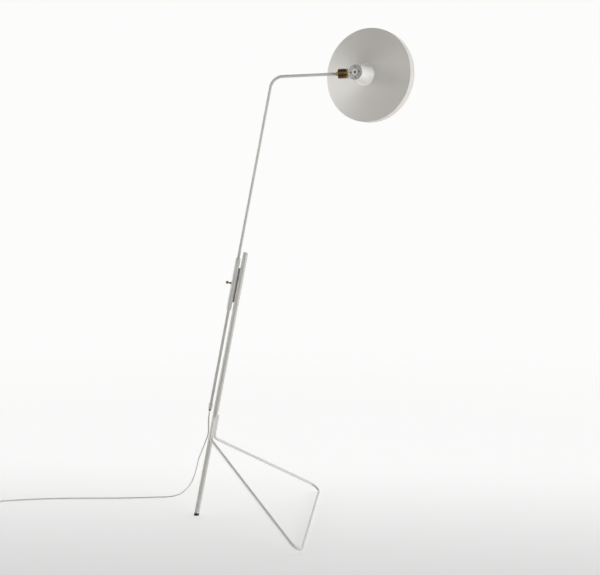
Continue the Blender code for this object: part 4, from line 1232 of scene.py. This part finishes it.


# The neck's paint is a much lighter copy of the shade's white: painted light on the neck.
neck_painted_light = spun("neck_painted_light", (0.89, 0.88, 0.855, 1.0), 2600.0, 0.25, 0.40)
FLARE_LENGTH = 0.022
FLARE_START = FLANGE_FRONT - FLARE_LENGTH
FLANGE_RADIUS = 0.038
outer = [(NECK_RADIUS - 0.0003, -NECK_BACK), (NECK_RADIUS, -NECK_BACK + 0.0004)]
outer.append((NECK_RADIUS + 0.0005, 0.012))
for i in range(25):
    share = i / 24
    swell = 0.0018 + 0.0014 * share + 0.0048 * share**5
    outer.append((NECK_RADIUS + swell, FLARE_START + (FLARE_LENGTH - 0.0010) * share))
outer += [(FLANGE_RADIUS - 0.0006, FLANGE_FRONT - 0.0010), (FLANGE_RADIUS, FLANGE_FRONT - 0.0007)]
outer.append((FLANGE_RADIUS, FLANGE_FRONT))
inner = [(NECK_RADIUS + 0.0062, FLANGE_FRONT), (NECK_RADIUS + 0.0036, FLANGE_FRONT - 0.0055)]
inner += [(NECK_RADIUS + 0.0014, FLANGE_FRONT - 0.012), (NECK_RADIUS, FLARE_START)]
inner += [(NECK_NARROW, 0.018), (NECK_NARROW, LEDGE), (NECK_INNER, LEDGE), (NECK_INNER, -NECK_BACK)]
neck = turned("shade_neck_spun", outer + inner, head, neck_painted_light, 128)
drilled(neck, STUD_RADIUS + GAP, 0.0, STUD_REACH, [stud])
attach(neck, "head")
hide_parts("shade_neck")


# ---- vent plate: a zinc-plated steel disc in the neck's back, with four air holes ----
# A hollow nipple goes through its middle, and a round nut on the outside draws it tight.

ZINC = (0.36, 0.355, 0.34, 1.0)
DULL_ZINC = (0.15, 0.14, 0.13, 1.0)
zinc_plate = bright_metal("zinc_plate", ZINC, DULL_ZINC, 0.55, 0.40, head, 900.0)
PLATE_EDGE = NECK_INNER - GAP
NIPPLE_RADIUS = 0.0056
NIPPLE_HOLE = NIPPLE_RADIUS + GAP


def in_ring(place, count, reach):
    """Places evenly round an axis, each this far from it."""
    offset = Matrix.Translation((reach, 0, 0))
    return [place @ Matrix.Rotation(math.tau * i / count, 4, "Z") @ offset for i in range(count)]


vent_plate = turned(
    "vent_plate_drilled",
    eased(sleeve_outline(NIPPLE_HOLE, PLATE_EDGE, PLATE_BACK, PLATE_BACK + PLATE_THICKNESS), 0.0004),
    head,
    zinc_plate,
    96,
)
drilled(vent_plate, 0.0024, -0.03, 0.0, in_ring(head, 4, 0.0168))
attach(vent_plate, "head")
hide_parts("vent_plate")

NIPPLE_BORE = 0.0044
NIPPLE_START = PLATE_BACK - GAP - 0.003
NIPPLE_END = NIPPLE_START + 0.032
ROUND_NUT_RADIUS = 0.011
white_zinc = painted("white_zinc_paint", (0.74, 0.725, 0.69, 1.0), 1800.0, 0.5, 0.36)
nipple_side = [(NIPPLE_RADIUS - 0.0002, NIPPLE_START), (NIPPLE_RADIUS, NIPPLE_START + 0.0003)]
height = NIPPLE_START + 0.0008
while height < NIPPLE_START + 0.0310:
    nipple_side += [(NIPPLE_RADIUS, height), (NIPPLE_RADIUS - 0.0004, height + 0.0004)]
    nipple_side += [(NIPPLE_RADIUS, height + 0.0008)]
    height += 0.0010
nipple_side += [(NIPPLE_RADIUS, NIPPLE_END), (NIPPLE_BORE, NIPPLE_END)]
nipple = turned(
    "holder_nipple_threaded",
    [(NIPPLE_BORE, NIPPLE_START), *nipple_side],
    head,
    white_zinc,
    48,
)
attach(nipple, "head")
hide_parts("holder_nipple")
outline = [(NIPPLE_HOLE, NIPPLE_START), (ROUND_NUT_RADIUS - 0.0008, NIPPLE_START)]
outline += [(ROUND_NUT_RADIUS, NIPPLE_START + 0.0008), (ROUND_NUT_RADIUS, PLATE_BACK - GAP)]
outline.append((NIPPLE_HOLE, PLATE_BACK - GAP))
ring_nut = turned("nipple_nut_round", eased(outline, 0.0003), head, white_zinc, 72)
drilled(ring_nut, 0.0014, -0.03, 0.0, in_ring(head, 2, ROUND_NUT_RADIUS + 0.0004), 20)
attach(ring_nut, "head")
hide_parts("nipple_ring_nut")


# ---- shade: a shallow cone with a deep rim, spun from one sheet of aluminium and sprayed white ----
# Its edge is rolled inwards, the outside has faint spinning rings, and the inside is a cleaner white.

SHADE_RADIUS = 0.160
SHADE_WALL = 0.0012
SHADE_BACK = FLANGE_FRONT + GAP
CONE_RISE = 0.020
CONE_EDGE = SHADE_BACK + CONE_RISE
SHADE_RIM = CONE_EDGE + 0.037
SHADE_FLAT = 0.039
SHOULDER = 0.004
CONE_WIDTH = SHADE_RADIUS - SHOULDER - SHADE_FLAT
HOLDER_RADIUS = 0.0195
SHADE_HOLE = HOLDER_RADIUS + GAP
shade_paint = spun("shade_paint", (0.66, 0.635, 0.59, 1.0), 1900.0, 0.30, 0.42)


def shoulder_arc(radius, edge, height, steps):
    """The round turn from the cone to the rim, as a quarter of a softened curve."""
    start = Vector((radius - SHOULDER, edge))
    corner = Vector((radius, edge + SHOULDER * 0.1))
    end = Vector((radius, edge + SHOULDER))
    line = []
    for i in range(steps + 1):
        t = i / steps
        spot = start * (1 - t) ** 2 + corner * 2 * t * (1 - t) + end * t * t
        line.append(tuple(spot + Vector((0, height))))
    return line


cone = [(SHADE_FLAT + CONE_WIDTH * i / 8, SHADE_BACK + CONE_RISE * i / 8) for i in range(1, 8)]
skin = [(SHADE_HOLE, SHADE_BACK), (SHADE_FLAT - 0.001, SHADE_BACK)]
skin += [(SHADE_FLAT + 0.001, SHADE_BACK + 0.0003), *cone]
skin += shoulder_arc(SHADE_RADIUS, CONE_EDGE, 0.0, 8)
skin += [(SHADE_RADIUS, SHADE_RIM - 0.0012), (SHADE_RADIUS - 0.0003, SHADE_RIM - 0.0004)]
skin.append((SHADE_RADIUS - 0.0009, SHADE_RIM))
bead = SHADE_RADIUS - SHADE_WALL - 0.0014
lining = [(bead + 0.0006, SHADE_RIM), (bead, SHADE_RIM - 0.0005), (bead, SHADE_RIM - 0.0016)]
lining += [(bead + 0.0006, SHADE_RIM - 0.0026), (bead + 0.0014, SHADE_RIM - 0.0032)]
lining += reversed(shoulder_arc(SHADE_RADIUS - SHADE_WALL, CONE_EDGE, SHADE_WALL * 0.8, 8))
lining += [(radius, height + SHADE_WALL) for radius, height in reversed(cone)]
lining += [(SHADE_FLAT, SHADE_BACK + SHADE_WALL), (SHADE_HOLE, SHADE_BACK + SHADE_WALL)]
shade = turned("shade_spun", skin + lining, head, shade_paint, 240)
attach(shade, "head")
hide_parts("shade")


# ---- lamp holder: black moulded bakelite, screwed on the nipple ----
# A notched ring on it grips the shade. Inside it are a white ceramic block and a brass contact, and a
# short lead runs to it from the ball's stem.

HOLDER_BACK = 0.010
HOLDER_FRONT = HOLDER_BACK + 0.0615
HOLDER_WALL = 0.003
BLOCK_FRONT = HOLDER_BACK + HOLDER_WALL + 0.017
SOCKET_RADIUS = 0.0134
SOCKET_PITCH = 0.0036
RIB_DEPTH = 0.0007
black_bakelite = moulded("black_bakelite", (0.022, 0.018, 0.016, 1.0), 700.0, 0.28, 0.1)
outside = [(NIPPLE_HOLE, HOLDER_BACK), (HOLDER_RADIUS - 0.0015, HOLDER_BACK)]
outside.append((HOLDER_RADIUS, HOLDER_BACK + 0.0015))
for rib in range(6):
    foot = HOLDER_BACK + 0.006 + rib * 0.0032
    outside += [(HOLDER_RADIUS, foot), (HOLDER_RADIUS - RIB_DEPTH, foot + 0.0004)]
    outside += [(HOLDER_RADIUS - RIB_DEPTH, foot + 0.0012), (HOLDER_RADIUS, foot + 0.0016)]
outside += [(HOLDER_RADIUS, HOLDER_FRONT - 0.001), (HOLDER_RADIUS - 0.001, HOLDER_FRONT)]
socket = [(SOCKET_RADIUS, HOLDER_FRONT)]
height = HOLDER_FRONT - 0.003
while height > BLOCK_FRONT + 0.004:
    socket += [(SOCKET_RADIUS, height), (SOCKET_RADIUS + 0.0007, height - SOCKET_PITCH / 4)]
    socket += [(SOCKET_RADIUS, height - SOCKET_PITCH / 2)]
    height -= SOCKET_PITCH
socket += [(SOCKET_RADIUS, BLOCK_FRONT + 0.001), (HOLDER_RADIUS - HOLDER_WALL, BLOCK_FRONT)]
socket.append((HOLDER_RADIUS - HOLDER_WALL, HOLDER_BACK + HOLDER_WALL))
socket.append((NIPPLE_HOLE, HOLDER_BACK + HOLDER_WALL))
lamp_holder = turned("lamp_holder_ribbed", outside + socket, head, black_bakelite, 96, 28)
RING_BACK = SHADE_BACK + SHADE_WALL + GAP
RING_FRONT = RING_BACK + 0.0038
RING_RADIUS = 0.028
outline = [(SHADE_HOLE, RING_BACK), (RING_RADIUS, RING_BACK), (RING_RADIUS, RING_FRONT - 0.0008)]
outline += [(RING_RADIUS - 0.0008, RING_FRONT), (SHADE_HOLE, RING_FRONT)]
shade_ring = turned("shade_ring_notched", eased(outline, 0.0003), head, black_bakelite, 96)
drilled(shade_ring, 0.0015, 0.05, 0.09, in_ring(head, 18, RING_RADIUS + 0.0008), 16)
for piece, node in ((lamp_holder, "lamp_holder"), (shade_ring, "shade_ring")):
    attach(piece, "head")
    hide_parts(node)
white_ceramic = moulded("white_ceramic", (0.78, 0.76, 0.72, 1.0), 600.0, 0.22, 0.1)
contact_brass = bright_metal("contact_brass", BRASS, OLD_BRASS, 0.4, 0.3, head)
recoated("contact_block", white_ceramic)
recoated("centre_contact", contact_brass)


# ---- bulb: a screw cap of thin nickel-plated brass and a round opal glass ----
# The cap's thread is rolled, and it narrows to a blunt tip that meets the holder's contact.

BULB_SEAT = BLOCK_FRONT + 0.004
CAP_RADIUS = 0.013
CAP_TOP = BULB_SEAT + 0.025
NICKEL = (0.60, 0.56, 0.48, 1.0)
DULL_NICKEL = (0.28, 0.24, 0.19, 1.0)
cap_nickel = bright_metal("cap_nickel", NICKEL, DULL_NICKEL, 0.4, 0.26, head, 700.0)
THREAD_FOOT = BULB_SEAT + 0.0060
THREAD_DEPTH = 0.0005
THREAD_LENGTH = 0.0144
screw_cap = [(0.0, BULB_SEAT), (0.004, BULB_SEAT), (0.0050, BULB_SEAT + 0.0006)]
screw_cap += [(0.0055, BULB_SEAT + 0.001), (CAP_RADIUS - 0.002, BULB_SEAT + 0.0035)]
screw_cap.append((CAP_RADIUS - 0.0010, THREAD_FOOT))
for i in range(1, 49):
    wave = math.sin(math.tau * i / 12) * THREAD_DEPTH
    screw_cap.append((CAP_RADIUS - THREAD_DEPTH + wave, THREAD_FOOT + THREAD_LENGTH * i / 48))
screw_cap += [(CAP_RADIUS - 0.0004, CAP_TOP - 0.0036), (CAP_RADIUS, CAP_TOP - 0.0010)]
screw_cap += [(CAP_RADIUS, CAP_TOP), (0.0, CAP_TOP)]
bulb_cap = turned("bulb_cap_threaded", screw_cap, head, cap_nickel, 72)
GLASS_RADIUS = 0.024
GLASS_BACK = CAP_TOP + GAP
GLASS_CENTRE = GLASS_BACK + 0.055 - GLASS_RADIUS
NECK_OF_GLASS = CAP_RADIUS - 0.0006
opal, tree, shader, where, bump = new_surface("opal_glass_shell", roughness=0.12)
values = {"Plastic": (0.84, 0.83, 0.80, 1.0), "Grain Scale": 60.0, "Gloss": 0.12}
coated(tree, moulded_plastic, shader, bump, where, values, 0.02, 0.0002)
shader.inputs["Subsurface Weight"].default_value = 0.25
shader.inputs["Subsurface Radius"].default_value = (0.006, 0.005, 0.004)
shader.inputs["Subsurface Scale"].default_value = 1.0
shader.inputs["Coat Weight"].default_value = 0.5
first = math.radians(-40)
globe = [
    (GLASS_RADIUS * math.cos(a), GLASS_CENTRE + GLASS_RADIUS * math.sin(a))
    for a in (first + (math.pi / 2 - 0.03 - first) * i / 40 for i in range(41))
]
outline = [(0.0, GLASS_BACK), (NECK_OF_GLASS, GLASS_BACK), (NECK_OF_GLASS, HOLDER_FRONT + 0.0006)]
outline += [*globe, (0.0, GLASS_CENTRE + GLASS_RADIUS)]
bulb_glass = turned("bulb_glass_opal", outline, head, opal, 96, 60)
for piece, node, slot in ((bulb_cap, "bulb_cap", "brass"), (bulb_glass, "bulb_glass", "opal_glass")):
    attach(piece, "head")
    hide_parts(node)


# ---- studio: white paper all round, lit from both sides and from behind ----
# The light from the camera's side is weaker, so round pieces are darker in the middle than at their edges.

DAYLIGHT = (1.0, 1.0, 0.995, 1.0)
PAPER_GLOW = 0.975
world = bpy.data.worlds.new("studio_light")
world.use_nodes = True
tree = world.node_tree
backdrop = tree.nodes["Background"]
backdrop.inputs["Color"].default_value = DAYLIGHT
heading = tree.nodes.new("ShaderNodeSeparateXYZ")
tree.links.new(tree.nodes.new("ShaderNodeTexCoord").outputs["Generated"], heading.inputs["Vector"])
front_to_back = tree.nodes.new("ShaderNodeMapRange")
front_to_back.interpolation_type = "SMOOTHSTEP"
front_to_back.inputs["From Min"].default_value = -0.35
front_to_back.inputs["From Max"].default_value = 0.50
front_to_back.inputs["To Min"].default_value = 0.04
front_to_back.inputs["To Max"].default_value = 1.0
tree.links.new(heading.outputs["Y"], front_to_back.inputs["Value"])
tree.links.new(front_to_back.outputs["Result"], backdrop.inputs["Strength"])
bpy.context.scene.world = world
bpy.context.scene.view_settings.view_transform = "Standard"

dome_glow = bpy.data.materials.new("studio_dome")
dome_glow.use_nodes = True
shader = dome_glow.node_tree.nodes["Principled BSDF"]
shader.inputs["Base Color"].default_value = (0.0, 0.0, 0.0, 1.0)
shader.inputs["Specular IOR Level"].default_value = 0.0
shader.inputs["Emission Color"].default_value = DAYLIGHT
shader.inputs["Emission Strength"].default_value = PAPER_GLOW
shape = bmesh.new()
bmesh.ops.create_icosphere(shape, subdivisions=4, radius=40.0)
mesh = bpy.data.meshes.new("studio_dome")
shape.to_mesh(mesh)
shape.free()
mesh.materials.append(dome_glow)
dome = bpy.data.objects.new("studio_dome", mesh)
bpy.context.scene.collection.objects.link(dome)
dome.visible_diffuse = False
dome.visible_glossy = False
dome.visible_transmission = False
dome.visible_shadow = False

# The floor's paper glows like the dome far away, and is lit and shadowed near the lamp. Near the lamp it
# glows too, less towards the camera's side: painted light, darker towards the front. Gloss doesn't show it.
NEAR_PAPER = 2.2
FAR_PAPER = 6.0
PAPER_WHITE = 0.62
paper = bpy.data.materials.new("studio_paper")
paper.use_nodes = True
tree = paper.node_tree
shader = tree.nodes["Principled BSDF"]
shader.inputs["Roughness"].default_value = 0.95
shader.inputs["Specular IOR Level"].default_value = 0.0
shader.inputs["Emission Color"].default_value = DAYLIGHT
where = tree.nodes.new("ShaderNodeTexCoord").outputs["Object"]
parts = tree.nodes.new("ShaderNodeSeparateXYZ")
tree.links.new(where, parts.inputs["Vector"])
reach = tree.nodes.new("ShaderNodeVectorMath")
reach.operation = "LENGTH"
tree.links.new(where, reach.inputs[0])


def faded(value, low, high, to_low, to_high):
    made = tree.nodes.new("ShaderNodeMapRange")
    made.interpolation_type = "SMOOTHSTEP"
    made.inputs["From Min"].default_value = low
    made.inputs["From Max"].default_value = high
    made.inputs["To Min"].default_value = to_low
    made.inputs["To Max"].default_value = to_high
    tree.links.new(value, made.inputs["Value"])
    return made.outputs["Result"]


far = faded(reach.outputs["Value"], NEAR_PAPER, FAR_PAPER, 0.0, 1.0)
albedo = faded(reach.outputs["Value"], NEAR_PAPER, FAR_PAPER, PAPER_WHITE, 0.0)
tree.links.new(albedo, shader.inputs["Base Color"])
# Painted light: the near paper's glow is weaker towards the front than behind the lamp.
near_glow = faded(parts.outputs["Y"], -1.0, 0.85, 0.295, 0.575)
glow = tree.nodes.new("ShaderNodeMix")
tree.links.new(far, glow.inputs["Factor"])
tree.links.new(near_glow, glow.inputs[2])
glow.inputs[3].default_value = PAPER_GLOW
tree.links.new(glow.outputs[0], shader.inputs["Emission Strength"])
shape = bmesh.new()
bmesh.ops.create_circle(shape, cap_ends=True, segments=64, radius=39.0)
mesh = bpy.data.meshes.new("studio_floor")
shape.to_mesh(mesh)
shape.free()
mesh.materials.append(paper)
floor = bpy.data.objects.new("studio_floor", mesh)
bpy.context.scene.collection.objects.link(floor)
floor.visible_glossy = False


def soft_sun(name, towards, spread, strength):
    """Even light from a wide patch of sky, the same strength everywhere."""
    lamp = bpy.data.lights.new(name, "SUN")
    lamp.angle = math.radians(spread)
    lamp.energy = strength
    made = bpy.data.objects.new(name, lamp)
    made.rotation_euler = Vector(towards).to_track_quat("Z", "Y").to_euler()
    bpy.context.scene.collection.objects.link(made)


soft_sun("left_light", (-0.98, -0.18, 0.0), 40.0, 1.5)
soft_sun("right_light", (0.93, -0.36, 0.10), 40.0, 2.1)

# Two low curved screens stand at the lamp's left and front, at the shade's height. Only gloss shows them.
screen_glow = bpy.data.materials.new("studio_screen")
screen_glow.use_nodes = True
shader = screen_glow.node_tree.nodes["Principled BSDF"]
shader.inputs["Base Color"].default_value = (0.0, 0.0, 0.0, 1.0)
shader.inputs["Emission Color"].default_value = DAYLIGHT
shader.inputs["Emission Strength"].default_value = 8.0
SCREEN_REACH = 5.0
for name, start, end, foot, top in (("left", 183, 210, 0.7, 2.2), ("front", 236, 256, 1.65, 2.5)):
    shape = bmesh.new()
    edge = [
        shape.verts.new((SCREEN_REACH * math.cos(a), SCREEN_REACH * math.sin(a), foot))
        for a in (math.radians(start + (end - start) * i / 8) for i in range(9))
    ]
    sides = [shape.edges.new(pair) for pair in zip(edge, edge[1:])]
    raised = bmesh.ops.extrude_edge_only(shape, edges=sides)["geom"]
    raised = [item for item in raised if isinstance(item, bmesh.types.BMVert)]
    bmesh.ops.translate(shape, verts=raised, vec=(0, 0, top - foot))
    mesh = bpy.data.meshes.new(f"studio_screen_{name}")
    shape.to_mesh(mesh)
    shape.free()
    mesh.materials.append(screen_glow)
    screen = bpy.data.objects.new(f"studio_screen_{name}", mesh)
    bpy.context.scene.collection.objects.link(screen)
    screen.visible_camera = False
    screen.visible_diffuse = False
    screen.visible_shadow = False
